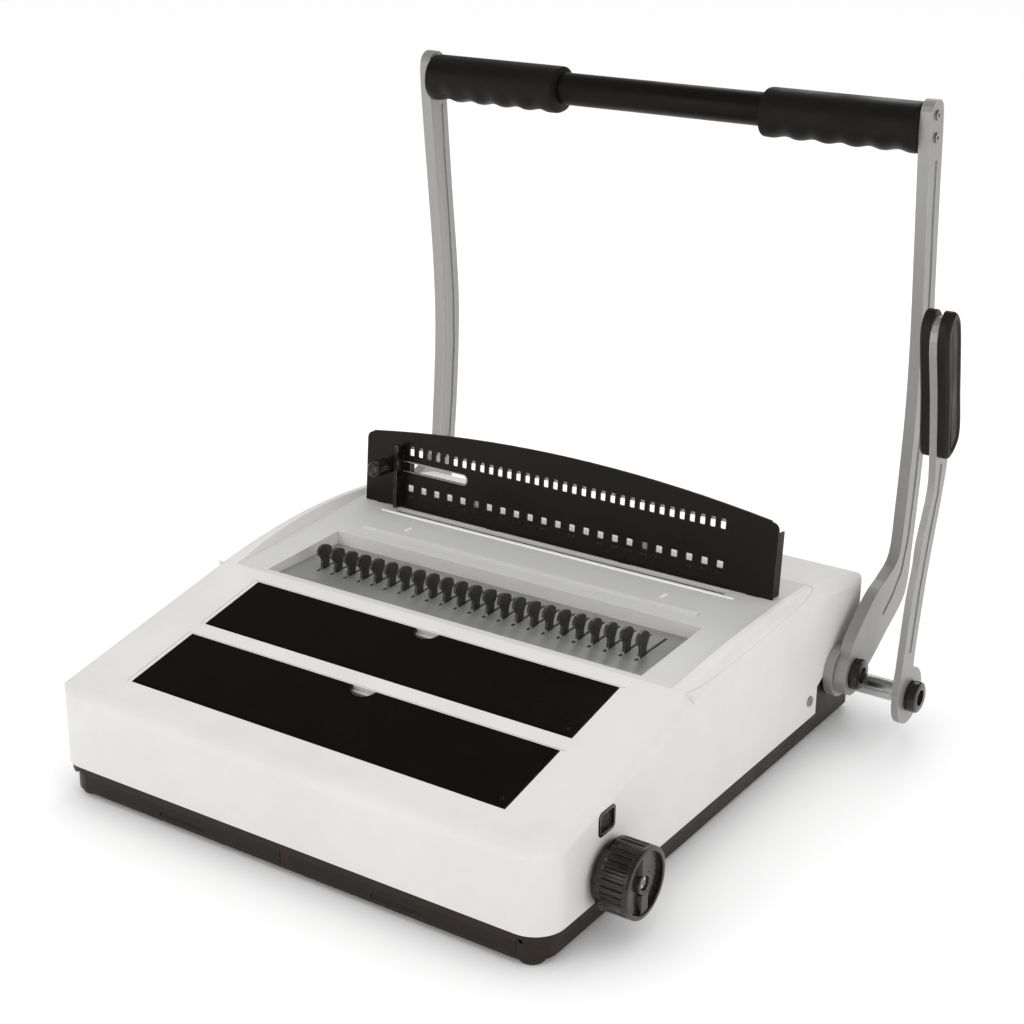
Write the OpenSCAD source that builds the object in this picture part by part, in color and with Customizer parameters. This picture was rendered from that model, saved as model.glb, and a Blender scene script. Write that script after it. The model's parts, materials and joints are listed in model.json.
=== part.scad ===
// Desktop comb binding machine: lever-operated punch, comb opener, storage wells and chip trays.
// Millimetres. The model is laid out from the housing's front face (y = 0) and centre line (x = 0),
// and at_origin() moves it so that the middle of its footprint is the origin.

/* [Housing] */
// Width of the housing
housing_w = 411; // [405:1:500]
// Depth of the housing
housing_d = 447; // [445:1:540]
// Height of the housing's lower edge
housing_base = 25; // [22:1:27]
// Height of the crease at the top of the front face
crease_z = 82; // [80:1:100]
// Angle of the front slope
slope_deg = 11.7; // [10:0.1:12]
// Depth of the sloped front part
slope_d = 175; // [173:1:180]
// Height of the arched top where it meets the rear face
rear_z = 112; // [108:1:122]
// Wall thickness of the housing
wall = 3; // [2.5:0.1:3.6]
// Radius of the housing's front corners
front_corner_r = 22; // [14:1:26]
// Radius of the housing's rear corners
rear_corner_r = 10; // [6:1:14]
// Rounding of the top's side edges
edge_r = 9; // [6:1:10]
// Rounding of the crease
crease_r = 10; // [6:1:12]
// Rounding of the top's rear edge
rear_r = 8; // [6:1:10]

/* [Storage wells] */
// Half width of a lid
lid_x = 156; // [120:1:160]
// Length of the front lid along the slope
front_lid_len = 63; // [45:1:64]
// Length of the rear lid along the slope
rear_lid_len = 59.5; // [45:1:60]
// Distance from the crease to the front lid
front_lid_s = 30; // [28:1:31]
// Distance between the lids
lid_spacing = 14.5; // [12:0.5:16]
// Thickness of a lid
lid_t = 3; // [2.5:0.1:3.5]
// Depth of a well
well_depth = 36; // [20:1:38]
// Wall thickness of a well
well_wall = 2; // [1.2:0.1:2.4]

/* [Punch] */
// Number of punch pins and comb fingers
hole_count = 23; // [12:1:23]
// Spacing of punch pins and comb fingers
hole_pitch = 12.7; // [9:0.1:12.7]
// Width of a punched hole
hole_w = 8; // [4:0.5:8]
// Height of a punched hole
hole_h = 3; // [2:0.1:3.6]
// Width of the sheet slit
slit = 2.5; // [2.2:0.1:3]
// Thickness of the die plate
die_t = 8; // [6:0.5:9]
// Thickness of the punch guide
punch_guide_t = 10; // [8:0.5:11]
// Diameter of the main shaft
main_shaft_d = 16; // [13:0.5:17]
// Swing of the press handle
handle_swing = 80; // [60:1:80]

/* [Handle] */
// Thickness of a handle arm
arm_t = 9; // [6:0.5:10]
// Scale of the handle arms' height
arm_rise = 396; // [330:1:476]
// Diameter of the crossbar
crossbar_d = 25; // [20:1:26]
// Length of each grip
grip_len = 123.5; // [90:1:140]
// Side clearance between arm and housing
arm_gap = 7.5; // [5:0.5:8]

/* [Comb opener] */
// Diameter of the comb shaft
comb_shaft_d = 15.5; // [13:0.5:16]
// Thickness of a comb finger
finger_t = 2; // [1.5:0.1:2.2]
// Tooth module of gears and racks
tooth_m = 1.5; // [1.5:0.1:1.6]
// Teeth on a comb gear
comb_teeth = 24; // [22:2:24]
// Teeth on an idler gear
idler_teeth = 16; // [16:1:17]
// Thickness of gears and racks
gear_t = 6; // [5:0.5:6]
// Gap between arm and comb lever
lever_gap = 30; // [22:1:34]
// Swing of the comb lever
lever_swing = 80; // [60:1:80]
// Thickness of the comb lever
lever_t = 5.5; // [5:0.5:8]

/* [Back plate] */
// Half width of the back plate
plate_x = 184; // [180:1:190]
// Height of the back plate at its sides
plate_side_h = 58; // [50:1:70]
// Rise of the back plate's bowed top
plate_bow = 14; // [8:1:17]
// Thickness of the back plate
plate_t = 1.5; // [1:0.1:2]
// Lean of the back plate
plate_lean = 4.5; // [3:0.1:6]

/* [Depth setting] */
// Radius of the depth knob
knob_r = 24; // [20:1:26]
// Length of the depth knob
knob_len = 24; // [20:1:29]
// Height of the knob's axis
knob_z = 43; // [42:1:45]

/* [Chip trays] */
// Height of a chip tray
chip_tray_h = 10.8; // [9:0.1:11]
// Depth of a chip tray
chip_tray_d = 342; // [250:1:345]

/* [Hidden] */
$fn = 48;
eps = 1;                       // how far a cutter passes the face it cuts
run = 0.05;                    // radial running clearance of shafts and pins
gap = 0.3;                     // clearance between parts that slide or turn past each other
foot_h = 5;                    // height of the rubber feet
floor_t = 2.5;                 // thickness of the base floor
half_w = housing_w / 2;
slope_tan = tan(slope_deg);

// Arched top: tangent to the slope at the slope's end
arch_start = [slope_d, crease_z + slope_d * slope_tan];
arch_run = housing_d - slope_d;
arch_fall = arch_start[1] - rear_z;
arch_r = (pow(arch_run, 2) + pow(arch_fall, 2)) / 2
    / (arch_run * sin(slope_deg) + arch_fall * cos(slope_deg));
arch_c = arch_start + arch_r * [sin(slope_deg), -cos(slope_deg)];
deck_rise = 0.045;             // rise of the recessed deck for each millimetre of depth
deck_x = half_w - 17.5;
deck_bevel = 8;
function deck_z(y) = arch_start[1] + deck_rise * (y - slope_d);
function slope_z(y, inset) = crease_z + y * slope_tan - inset / cos(slope_deg);

// Shafts
pivot_y = housing_d - 48;
pivot_z = 51;
shaft_offset = [24, -18] * tooth_m * (comb_teeth + idler_teeth) / 60;
comb_y = pivot_y + shaft_offset[0];
comb_z = pivot_z + shaft_offset[1];
main_r = main_shaft_d / 2;
comb_r = comb_shaft_d / 2;
bush_wall = 3;
hub_r = 20;
hub_t = arm_gap - 2 * gap;

// Frames
frame_t = 5;
frame_out = half_w - 17.5;
frame_in = frame_out - frame_t;
base_floor = foot_h + floor_t;
plate_top = 112;               // top of the comb plate
comb_plate_t = 2.5;
plate_under = plate_top - comb_plate_t;

// Punch
cam_r0 = 12;
cam_k = 8.6;                   // growth of the punch cam for each radian
cam_reach0 = 14.35;            // reach of the cam towards the ram at rest
cam_t = 10;
cam_x = frame_in - 33;
cam_spread = handle_swing + 33;
ram_stroke = 11.1;
ram_back = pivot_y - cam_reach0 - gap;
ram_t = 35.4;
ram_front = ram_back - ram_t;
ram_x = frame_in - 11;
punch_z = 108;
guide_back = ram_front - ram_stroke - 0.4;
guide_front = guide_back - punch_guide_t;
die_back = guide_front - slit;
die_front = die_back - die_t;
slit_y = die_back + slit / 2;
deck_end = slit_y + 45.8;
die_low = 94;
die_top = 121;
throat_x = 149.5;
spacer_w = 10;
guide_rod_x = ram_x - 6;
guide_rod_r = 4;
row_half = (hole_count - 1) / 2 * hole_pitch;

// Comb pocket
pocket_x = 162;
pocket_front = slit_y - 144.2;
pocket_back = slit_y - 61.2;
slot_front = pocket_front + 30;
slot_back = slot_front + 44;
comb_plate_y0 = pocket_front - 3;
comb_plate_y1 = pocket_back + 4;
collar_t = 2.5;

// Gears: a comb gear turns an idler on the main shaft, which drives the rack above it rearwards
mesh_deg = 25;                 // pressure angle
tooth_add = 0.9 * tooth_m;
tooth_ded = 1.3 * tooth_m;
tooth_play = 0.16;             // thinning of each tooth at the pitch line
comb_pr = tooth_m * comb_teeth / 2;
idler_pr = tooth_m * idler_teeth / 2;
mesh_dir = atan2(shaft_offset[1], shaft_offset[0]);
gear_x = frame_in - 8;
rack_z = pivot_z + idler_pr;
rack_top = 72;
tooth_pitch = PI * tooth_m;
comb_travel = comb_pr * lever_swing * PI / 180;
beam_z0 = 90;
beam_z1 = 104;
beam_front = slot_front;
beam_back = beam_front + 20;
carriage_rod_x = 162;
carriage_rod_z = 96;

// Handle and lever
arm_in = half_w + arm_gap;
arm_out = arm_in + arm_t;
bar_y = pivot_y + 74;
bar_z = pivot_z + arm_rise;
boss_r = 17;
cap_r = 12;
cap_t = 6.5;
lever_in = arm_out + lever_gap;
lever_out = lever_in + lever_t;
grip_half_t = 8.5;

// Depth setting
knob_y = 68;
knob_shaft_r = 4;
dial_r = 42;
dial_x = half_w - wall - 4.5;
dial_swing = 45;
depth_k = 3.82;                // growth of the depth cam for each radian
depth_cam_r = 14;
depth_reach = 14.55;
depth_x0 = frame_in - 20;
depth_x1 = depth_x0 + 8;
depth_bar_z = 39;
depth_bar_h = 8;
ramp_rise = 6;
window_y = 68.3;
window_z = 77.3;
window_w = 18;
window_h = 15.5;

// Back plate and edge guide
plate_y = guide_front + 2.5;
plate_z = deck_z(plate_y);
foot_drop = plate_z - die_top - gap;   // from the deck down to the punch guide
plate_bow_r = (plate_x * plate_x + plate_bow * plate_bow) / (2 * plate_bow);
slot_up = 35;
lower_z = 17.6;                // height of each hole row up the plate
upper_z = 48.5;
slot_w = 7;
guide_slot = [-166, -86];
guide_x = -150;
guide_stem_x = -158;
upper_count = 34;
upper_pitch = 25.4 / 3;         // three holes to an inch
upper_half = (upper_count - 1) / 2 * upper_pitch;
tab_x = [-168, -60, 60, 168];
tab_w = 10;

// Base
base_x = half_w - 2;
skirt_x = half_w - 5.5;
base_y0 = 1;
base_y1 = housing_d - 0.5;
lip_z = 19;
lip_wall = 3;
foot_x = 186;
foot_in = 16;
tray_split = 4;                // from the centre line to a chip tray's front
tray_front_x = frame_out - 6;
tray_box_x = frame_in - 15;
tray_z = base_floor + gap;
cheek_y = housing_d - 77;
cheek_top = 54;
hatch = [[cheek_y, 0], [cheek_y, 47], [cheek_y + 14, cheek_top], [housing_d + eps, cheek_top],
    [housing_d + eps, 0]];

// Footprint: knob or lever at the sides, front face and rearmost point of the handle arms
side_left = -(arm_out + cap_t);
side_right = lever_out + grip_half_t;
rear_most = pivot_y + 103.5;
centre_x = (side_left + side_right) / 2;
centre_y = rear_most / 2;

module at_origin() translate([-centre_x, -centre_y, 0]) children();

// ---- Shared shapes ----

module block(x0, x1, y0, y1, z0, z1) translate([x0, y0, z0]) cube([x1 - x0, y1 - y0, z1 - z0]);
module along_x(x0, x1) translate([x0, 0, 0]) rotate([90, 0, 90]) linear_extrude(x1 - x0) children();
module along_y(y0, y1) translate([0, y1, 0]) rotate([90, 0, 0]) linear_extrude(y1 - y0) children();
module rod_x(y, z, r, x0, x1) translate([x0, y, z]) rotate([0, 90, 0]) cylinder(r = r, h = x1 - x0);
module rod_y(x, z, r, y0, y1) translate([x, y1, z]) rotate([90, 0, 0]) cylinder(r = r, h = y1 - y0);
module both() {
    children();
    mirror([1, 0, 0]) children();
}
module on_slope() translate([0, 0, crease_z]) rotate([slope_deg, 0, 0]) children();
module on_plate() translate([0, plate_y, plate_z]) rotate([-plate_lean, 0, 0]) children();
module rounded(w, h, r) {
    square([w - 2 * r, h], center = true);
    square([w, h - 2 * r], center = true);
    for (x = [-1, 1], y = [-1, 1]) translate([x * (w / 2 - r), y * (h / 2 - r)]) circle(r);
}

function between(a, b, c, d, t) = 0.5 * (2 * b + (c - a) * t + (2 * a - 5 * b + 4 * c - d) * t * t
    + (3 * b - a - 3 * c + d) * t * t * t);
function smooth(p, n) = let (m = len(p)) [for (i = [0:m - 1], k = [0:n - 1])
    between(p[(i + m - 1) % m], p[i], p[(i + 1) % m], p[(i + 2) % m], k / n)];

// strip of a given half width along a line of points
function across(p, i) = let (d = p[min(i + 1, len(p) - 1)] - p[max(i - 1, 0)]) [-d[1], d[0]] / norm(d);
function ribbon(p, half) = concat([for (i = [0:len(p) - 1]) p[i] + half * across(p, i)],
    [for (i = [len(p) - 1:-1:0]) p[i] - half * across(p, i)]);

// ---- Housing ----

// what lies outside the rounding between the front face and the slope
module crease_waste(inset) {
    crease_c = [crease_r, slope_z(crease_r, crease_r)];
    cr = crease_r - inset;
    difference() {
        polygon([crease_c, crease_c - [3 * cr, 0], crease_c + 3 * cr * [-1, cos(slope_deg)],
            crease_c + 3 * cr * [-sin(slope_deg), cos(slope_deg)]]);
        translate(crease_c) circle(cr);
    }
}

module housing_profile(inset, low) {
    join_y = slope_d + inset * sin(slope_deg);
    rear_y = housing_d - rear_r;
    rear_c = [rear_y, arch_c[1] + sqrt(pow(arch_r - rear_r, 2) - pow(rear_y - arch_c[0], 2))];
    rear_dir = (rear_c - arch_c) / (arch_r - rear_r);
    rr = rear_r - inset;
    difference() {
        union() {
            polygon([[inset, low], [inset, slope_z(inset, inset)], [join_y, slope_z(join_y, inset)],
                [join_y, low]]);
            intersection() {
                translate([join_y, low]) square([housing_d - inset - join_y, 300]);
                translate(arch_c) circle(arch_r - inset, $fn = 360);
            }
        }
        difference() {
            polygon([rear_c, rear_c + [3 * rr, 0], rear_c + 3 * rr * [1, rear_dir[1]],
                rear_c + 3 * rr * rear_dir]);
            translate(rear_c) circle(rr);
        }
    }
}

module housing_plan(x, y0, y1, front_r, back_r) {
    translate([-x + front_r, y0]) square([2 * (x - front_r), y1 - y0 - back_r]);
    translate([-x, y0 + front_r]) square([2 * x, y1 - y0 - front_r - back_r]);
    translate([-x + back_r, y0 + front_r]) square([2 * (x - back_r), y1 - y0 - front_r]);
    for (side = [-1, 1]) {
        translate([side * (x - front_r), y0 + front_r]) circle(front_r);
        translate([side * (x - back_r), y1 - back_r]) circle(back_r);
    }
}

module edge_cutter(inset) {
    e = edge_r - inset;
    in_x = half_w - edge_r;
    run_s = slope_d / cos(slope_deg);
    both() {
        on_slope() difference() {
            block(in_x, half_w + eps, -20, run_s, -edge_r, eps);
            rod_y(in_x, -edge_r, e, -20 - eps, run_s + eps);
        }
        translate([0, arch_c[0], arch_c[1]]) rotate([90, 0, 90]) rotate([0, 0, 68])
            rotate_extrude(angle = 22 + slope_deg, $fn = 720) difference() {
                translate([arch_r - edge_r, in_x]) square(edge_r + eps);
                translate([arch_r - edge_r, in_x]) circle(e, $fn = 48);
            }
    }
}

module housing_body(inset, low) {
    difference() {
        intersection() {
            along_x(-half_w + inset, half_w - inset) housing_profile(inset, low);
            translate([0, 0, low - eps]) linear_extrude(300)
                housing_plan(half_w - inset, inset, housing_d - inset, front_corner_r - inset,
                    rear_corner_r - inset);
        }
        along_x(-half_w - eps, half_w + eps) crease_waste(inset);
        edge_cutter(inset);
    }
}

module deck_recess(drop) {
    intersection() {
        along_x(-half_w, half_w) polygon([[slope_d, deck_z(slope_d) - drop],
            [deck_end, deck_z(deck_end) - drop], [deck_end, 200], [slope_d, 200]]);
        along_y(slope_d - eps, deck_end + eps) polygon([for (p = [[-1, 0], [-1 - deck_bevel / deck_x, 16],
            [1 + deck_bevel / deck_x, 16], [1, 0]]) [p[0] * (deck_x + drop), arch_start[1] - drop + p[1]]]);
    }
}

module lid_opening(s0, len) {
    on_slope() block(-lid_x - 4, lid_x + 4, s0 - 1.5, s0 + len + 1.5, -wall - eps, eps);
}

module housing_cover() {
    color([0.91, 0.9, 0.885]) difference() {
        union() {
            difference() {
                housing_body(0, housing_base);
                deck_recess(0);
                difference() {
                    housing_body(wall, housing_base - eps);
                    deck_recess(wall);
                }
            }
            // collar round the comb pocket, down to the comb plate
            intersection() {
                block(-pocket_x - collar_t, pocket_x + collar_t, pocket_front - collar_t,
                    pocket_back + collar_t, plate_top, 200);
                difference() {
                    housing_body(eps, housing_base);
                    deck_recess(eps);
                }
            }
            // low ledge in front of the sheet slit
            block(-throat_x, throat_x, slit_y - 46, slit_y - 42, deck_z(slit_y - 46) - eps,
                deck_z(slit_y - 42) + 0.8);
        }
        block(-pocket_x, pocket_x, pocket_front, pocket_back, plate_top - eps, 200);
        lid_opening(front_lid_s, front_lid_len);
        lid_opening(front_lid_s + front_lid_len + lid_spacing, rear_lid_len);
        // sheet throat with a sloping front lip
        along_x(-throat_x, throat_x) polygon([[die_back - 1, 110], [die_back - 1, die_top + 1],
            [die_back - 4, deck_z(die_back)], [die_back - 4, 135], [guide_front + 0.8, 135],
            [guide_front + 0.8, 110]]);
        // slots for the back plate's feet
        for (x = tab_x) block(x - tab_w / 2 - gap, x + tab_w / 2 + gap, plate_y - gap, plate_y + plate_t + 0.7,
            die_top, 140);
        both() along_x(half_w - wall - 6, half_w + eps) polygon(hatch);
        both() rod_x(pivot_y, pivot_z, main_r + bush_wall + gap, half_w - wall - 6, half_w + eps);
        both() rod_x(screw_y, screw_z, 2.2, half_w - wall - eps, half_w + eps);
        // depth knob bush and window
        rod_x(knob_y, knob_z, knob_shaft_r + 2.5, half_w - wall - 2, half_w + eps);
        translate([0, window_y, window_z]) along_x(half_w - wall - 2, half_w + eps)
            rounded(window_w, window_h, 3);
    }
}

screw_y = cheek_y - 12;
screw_z = 40;

module cover_screws() {
    color([0.55, 0.55, 0.56]) both() {
        difference() {
            rod_x(screw_y, screw_z, 4, half_w, half_w + 1.2);
            block(half_w + 0.6, half_w + 2, screw_y - 0.4, screw_y + 0.4, screw_z - 3, screw_z + 3);
        }
        rod_x(screw_y, screw_z, 2, base_x - lip_wall - 2, half_w);
    }
}

// ---- Base ----

module base_tray() {
    color([0.16, 0.11, 0.08]) difference() {
        union() {
            // skirt and lip with a hollow inside
            difference() {
                union() {
                    translate([0, 0, foot_h]) linear_extrude(lip_z - foot_h)
                        housing_plan(skirt_x, base_y0 + 2.5, base_y1 - 1, front_corner_r - 3,
                            rear_corner_r - 1);
                    translate([0, 0, lip_z]) linear_extrude(housing_base - lip_z)
                        housing_plan(base_x, base_y0, base_y1, front_corner_r - 1.5, rear_corner_r - 1);
                    translate([0, 0, housing_base]) linear_extrude(4)
                        housing_plan(half_w - wall - gap, wall + gap, housing_d - wall - gap,
                            front_corner_r - wall - gap, rear_corner_r - wall - gap);
                }
                translate([0, 0, base_floor]) linear_extrude(60)
                    housing_plan(skirt_x - lip_wall, base_y0 + 2.5 + lip_wall, base_y1 - 1 - lip_wall,
                        front_corner_r - 6, rear_corner_r - 4);
            }
            // cheeks that show through the housing's hatches
            both() along_x(skirt_x - lip_wall, base_x) difference() {
                polygon([[cheek_y + 0.5, lip_z + eps], [cheek_y + 0.5, 46.5],
                    [cheek_y + 14.4, cheek_top - 0.7], [housing_d - 5, cheek_top - 0.7],
                    [housing_d - 5, lip_z + eps]]);
                translate([pivot_y, pivot_z]) circle(main_r + bush_wall + gap);
            }
            // bosses for the cover screws
            both() rod_x(screw_y, screw_z, 5, frame_out, half_w - wall - gap);
        }
        both() rod_x(screw_y, screw_z, 2, frame_out - eps, half_w);
        rod_x(comb_y, comb_z, comb_r + bush_wall, skirt_x - lip_wall - eps, base_x + eps);
        // mouths of the chip trays
        both() block(tray_split - gap, tray_front_x + gap, base_y0 - eps, base_y0 + 2.5 + lip_wall + 10,
            base_floor, base_floor + chip_tray_h + 2 * gap);
        // round notches under the front corners for lifting
        both() rod_y(tray_front_x + 4, lip_z, 2.5, -eps, 8);
    }
}

module rubber_feet() {
    color([0.12, 0.12, 0.12]) for (x = [-foot_x, foot_x], y = [foot_in, housing_d - foot_in])
        translate([x, y, 0]) {
            cylinder(r1 = 8, r2 = 9, h = 2);
            translate([0, 0, 2]) cylinder(r = 9, h = foot_h - 2);
        }
}

module chip_tray() {
    z1 = tray_z + chip_tray_h;
    difference() {
        union() {
            block(tray_split, tray_front_x, base_y0 + 2.2, base_y0 + 5, tray_z, z1);
            block(tray_split + 2, tray_box_x, base_y0 + 5, base_y0 + chip_tray_d, tray_z, z1 - 0.8);
        }
        block(tray_split + 3.5, tray_box_x - 1.5, base_y0 + 6.5, base_y0 + chip_tray_d - 1.5, tray_z + 1.5, z1);
        // finger recess in the front
        rod_x(base_y0 + 1.2, tray_z + 2.2, 1.8, tray_front_x / 2 - 20, tray_front_x / 2 + 20);
    }
}

module chip_tray_left() color([0.13, 0.1, 0.085]) mirror([1, 0, 0]) chip_tray();
module chip_tray_right() color([0.13, 0.1, 0.085]) chip_tray();

// ---- Frames ----

module side_frame() {
    difference() {
        along_x(frame_in, frame_out) polygon([[comb_plate_y0, base_floor], [comb_plate_y0, plate_under],
            [comb_plate_y1, plate_under], [comb_plate_y1 + 8, 116], [ram_back, 116], [pivot_y + 34, 96],
            [pivot_y + 39, 70], [pivot_y + 39, base_floor]]);
        rod_x(pivot_y, pivot_z, main_r + bush_wall, frame_in - eps, frame_out + eps);
        rod_x(comb_y, comb_z, comb_r + bush_wall, frame_in - eps, frame_out + eps);
        for (p = tie_spots) rod_x(p[0], p[1], 3, frame_in - eps, frame_out + eps);
        // weight-saving window
        along_x(frame_in - eps, frame_out + eps) translate([(comb_plate_y0 + die_front) / 2 + 8, 38])
            rounded(88, 34, 8);
    }
}

tie_spots = [[comb_plate_y0 + 7, 80], [die_front - 30, 80], [pivot_y + 28, 84]];

module side_frame_left() color([0.62, 0.63, 0.65]) mirror([1, 0, 0]) side_frame();
module side_frame_right() color([0.62, 0.63, 0.65]) side_frame();

module tie_rods() {
    color([0.7, 0.7, 0.72]) for (p = tie_spots) {
        rod_x(p[0], p[1], 5, -frame_in, frame_in);
        rod_x(p[0], p[1], 3, -frame_out - 2, frame_out + 2);
    }
}

module bush(y, z, r, x0, x1) difference() {
    rod_x(y, z, r + bush_wall, x0, x1);
    rod_x(y, z, r + run, x0 - eps, x1 + eps);
}

module handle_bushes() {
    color([0.78, 0.78, 0.79]) both() {
        bush(pivot_y, pivot_z, main_r, frame_in, half_w + gap);
        difference() {
            rod_x(pivot_y, pivot_z, hub_r, half_w + gap, half_w + gap + hub_t);
            rod_x(pivot_y, pivot_z, main_r + run, half_w, half_w + arm_gap);
        }
    }
}

module comb_bushes() {
    color([0.72, 0.72, 0.73]) {
        bush(comb_y, comb_z, comb_r, frame_in, base_x + 1.5);
        bush(comb_y, comb_z, comb_r, -frame_out - 2, -frame_in);
    }
}

// ---- Storage wells and lids ----

module well(s0, len) {
    s1 = s0 + len;
    pin_s = s0 + lid_t / 2;
    on_slope() difference() {
        union() {
            block(-lid_x - 3.8, lid_x + 3.8, s0 - 1.3, s1 + 1.3, -well_depth, -0.3);
            block(-lid_x - 10, lid_x + 10, s0 - 4, s1 + 4, -wall - 2, -wall);
        }
        block(-lid_x - 0.5, lid_x + 0.5, s0 - 0.5, s1 + 0.5, -lid_t - 1.5, eps);
        block(-lid_x + 2, lid_x - 2, s0 + 2, s1 - 1.5, -well_depth + well_wall, eps);
        both() rod_x(pin_s, -lid_t / 2, pin_r, lid_x - 2, lid_x + 3);
    }
}

pin_r = 0.8;
rear_lid_s = front_lid_s + front_lid_len + lid_spacing;

module front_well() color([0.93, 0.93, 0.92]) well(front_lid_s, front_lid_len);
module rear_well() color([0.93, 0.93, 0.92]) well(rear_lid_s, rear_lid_len);

module lid(s0, len) {
    r = lid_t / 2;
    on_slope() difference() {
        union() {
            block(-lid_x, lid_x, s0 + r, s0 + len, -lid_t, 0);
            rod_x(s0 + r, -r, r, -lid_x, lid_x);
        }
        both() rod_x(s0 + r, -r, pin_r + run, lid_x - 8, lid_x + eps);
        // finger scoop in the free edge
        translate([0, s0 + len + 1, -lid_t - eps]) cylinder(r = 10, h = lid_t + 2 * eps);
    }
}

module front_lid() color([0.06, 0.05, 0.045]) lid(front_lid_s, front_lid_len);
module rear_lid() color([0.06, 0.05, 0.045]) lid(rear_lid_s, rear_lid_len);
module lid_pins() {
    color("silver") for (s0 = [front_lid_s, rear_lid_s])
        on_slope() both() rod_x(s0 + lid_t / 2, -lid_t / 2, pin_r, lid_x - 7.5, lid_x + 3);
}

// ---- Comb plate, carriage and fingers ----

module comb_plate() {
    color([0.55, 0.55, 0.55]) difference() {
        block(-frame_out, frame_out, comb_plate_y0, comb_plate_y1, plate_under, plate_top);
        for (i = [0:hole_count - 1]) let (x = i * hole_pitch - row_half)
            block(x - finger_t / 2 - gap, x + finger_t / 2 + gap, slot_front, slot_back, plate_under - eps,
                plate_top + eps);
    }
}

module rod_blocks() {
    color([0.3, 0.3, 0.32]) both() for (y = [comb_plate_y0 + 14, comb_plate_y1 - 8]) difference() {
        block(carriage_rod_x - 7, carriage_rod_x + 7, y, y + 6, carriage_rod_z - 8, plate_under);
        rod_y(carriage_rod_x, carriage_rod_z, guide_rod_r, y - eps, y + 6 + eps);
    }
}

module carriage_rods() {
    color("silver") both()
        rod_y(carriage_rod_x, carriage_rod_z, guide_rod_r, comb_plate_y0 + 14, comb_plate_y1 - 2);
}

module carriage_beam() {
    color([0.5, 0.5, 0.52]) difference() {
        block(-gear_x - gear_t / 2, gear_x + gear_t / 2, beam_front, beam_back, beam_z0, beam_z1);
        both() rod_y(carriage_rod_x, carriage_rod_z, guide_rod_r + run, beam_front - eps, beam_back + eps);
    }
}

module comb_fingers() {
    f = beam_front;
    outline = [[f + 2, beam_z1], [f + 16, beam_z1], [f + 15.5, 108], [f + 14, 113], [f + 14.5, 118],
        [f + 17.5, 123.5], [f + 17.2, 127], [f + 14, 129.5], [f + 9, 131], [f + 4.5, 130.5], [f + 1.6, 128],
        [f + 1.4, 124.5], [f + 4, 122.5], [f + 6.3, 119], [f + 5.5, 113], [f + 3, 108]];
    color([0.2, 0.2, 0.21]) for (i = [0:hole_count - 1]) let (x = i * hole_pitch - row_half)
        along_x(x - finger_t / 2, x + finger_t / 2) polygon(outline);
}

// ---- Gears ----

function inv(a) = tan(a) * 180 / PI - a;
function gear_points(teeth, phase) = let (
        pr = tooth_m * teeth / 2,
        br = pr * cos(mesh_deg),
        half = 90 / teeth - tooth_play / pr * 90 / PI,
        inner = max(br, pr - 0.8 * tooth_m),
        radii = [for (k = [0:4]) inner + k / 4 * (pr + tooth_add - inner)],
        side = [for (r = radii) [r, half + inv(mesh_deg) - inv(acos(br / r))]],
        root = [pr - tooth_ded, side[0][1] + 0.5])
    [for (i = [0:teeth - 1]) let (a = phase + i * 360 / teeth)
        each concat([root[0] * [cos(a - root[1]), sin(a - root[1])]],
            [for (s = side) s[0] * [cos(a - s[1]), sin(a - s[1])]],
            [for (k = [4:-1:0]) side[k][0] * [cos(a + side[k][1]), sin(a + side[k][1])]],
            [root[0] * [cos(a + root[1]), sin(a + root[1])]])];

module gear(y, z, teeth, phase, bore) {
    translate([0, y, z]) along_x(gear_x - gear_t / 2, gear_x + gear_t / 2) difference() {
        polygon(gear_points(teeth, phase));
        circle(bore);
    }
}

module comb_gears() color([0.65, 0.6, 0.5]) both()
    gear(comb_y, comb_z, comb_teeth, mesh_dir + 180 + 180 / comb_teeth, comb_r);
module idler_gears() color([0.7, 0.66, 0.55]) both()
    gear(pivot_y, pivot_z, idler_teeth, mesh_dir, main_r + run);

module carriage_racks() {
    // a tooth of the idler stands at each of these angles, and meets a gap of the rack
    first = pivot_y + (90 - mesh_dir) * PI / 180 * idler_pr + tooth_pitch / 2;
    count_back = floor((first - pivot_y - 12) / tooth_pitch);
    w_root = tooth_pitch / 4 - tooth_play / 2 + tooth_ded * tan(mesh_deg);
    w_tip = tooth_pitch / 4 - tooth_play / 2 - tooth_add * tan(mesh_deg);
    root_z = rack_z + tooth_ded;
    tip_z = rack_z - tooth_add;
    rack_end = first - count_back * tooth_pitch + w_root;
    tooth_count = ceil((comb_travel + 24) / tooth_pitch);
    color([0.66, 0.66, 0.68]) both() along_x(gear_x - gear_t / 2, gear_x + gear_t / 2) {
        polygon([[beam_front, root_z], [rack_end, root_z], [rack_end, rack_top], [beam_back, rack_top],
            [beam_back, beam_z0], [beam_front, beam_z0]]);
        for (i = [0:tooth_count - 1]) translate([first - (count_back + i) * tooth_pitch, 0])
            polygon([[-w_root, root_z + 0.5], [w_root, root_z + 0.5], [w_root, root_z], [w_tip, tip_z],
                [-w_tip, tip_z], [-w_root, root_z]]);
    }
}

// ---- Punch ----

module hole_row(y0, y1, grow) {
    for (i = [0:hole_count - 1]) let (x = i * hole_pitch - row_half)
        block(x - hole_w / 2 - grow, x + hole_w / 2 + grow, y0, y1, punch_z - hole_h / 2 - grow,
            punch_z + hole_h / 2 + grow);
}

module die_plate() {
    color([0.5, 0.5, 0.52]) difference() {
        block(-frame_in, frame_in, die_front, die_back, die_low, die_top);
        hole_row(die_front - eps, die_back + eps, run);
    }
}

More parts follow.
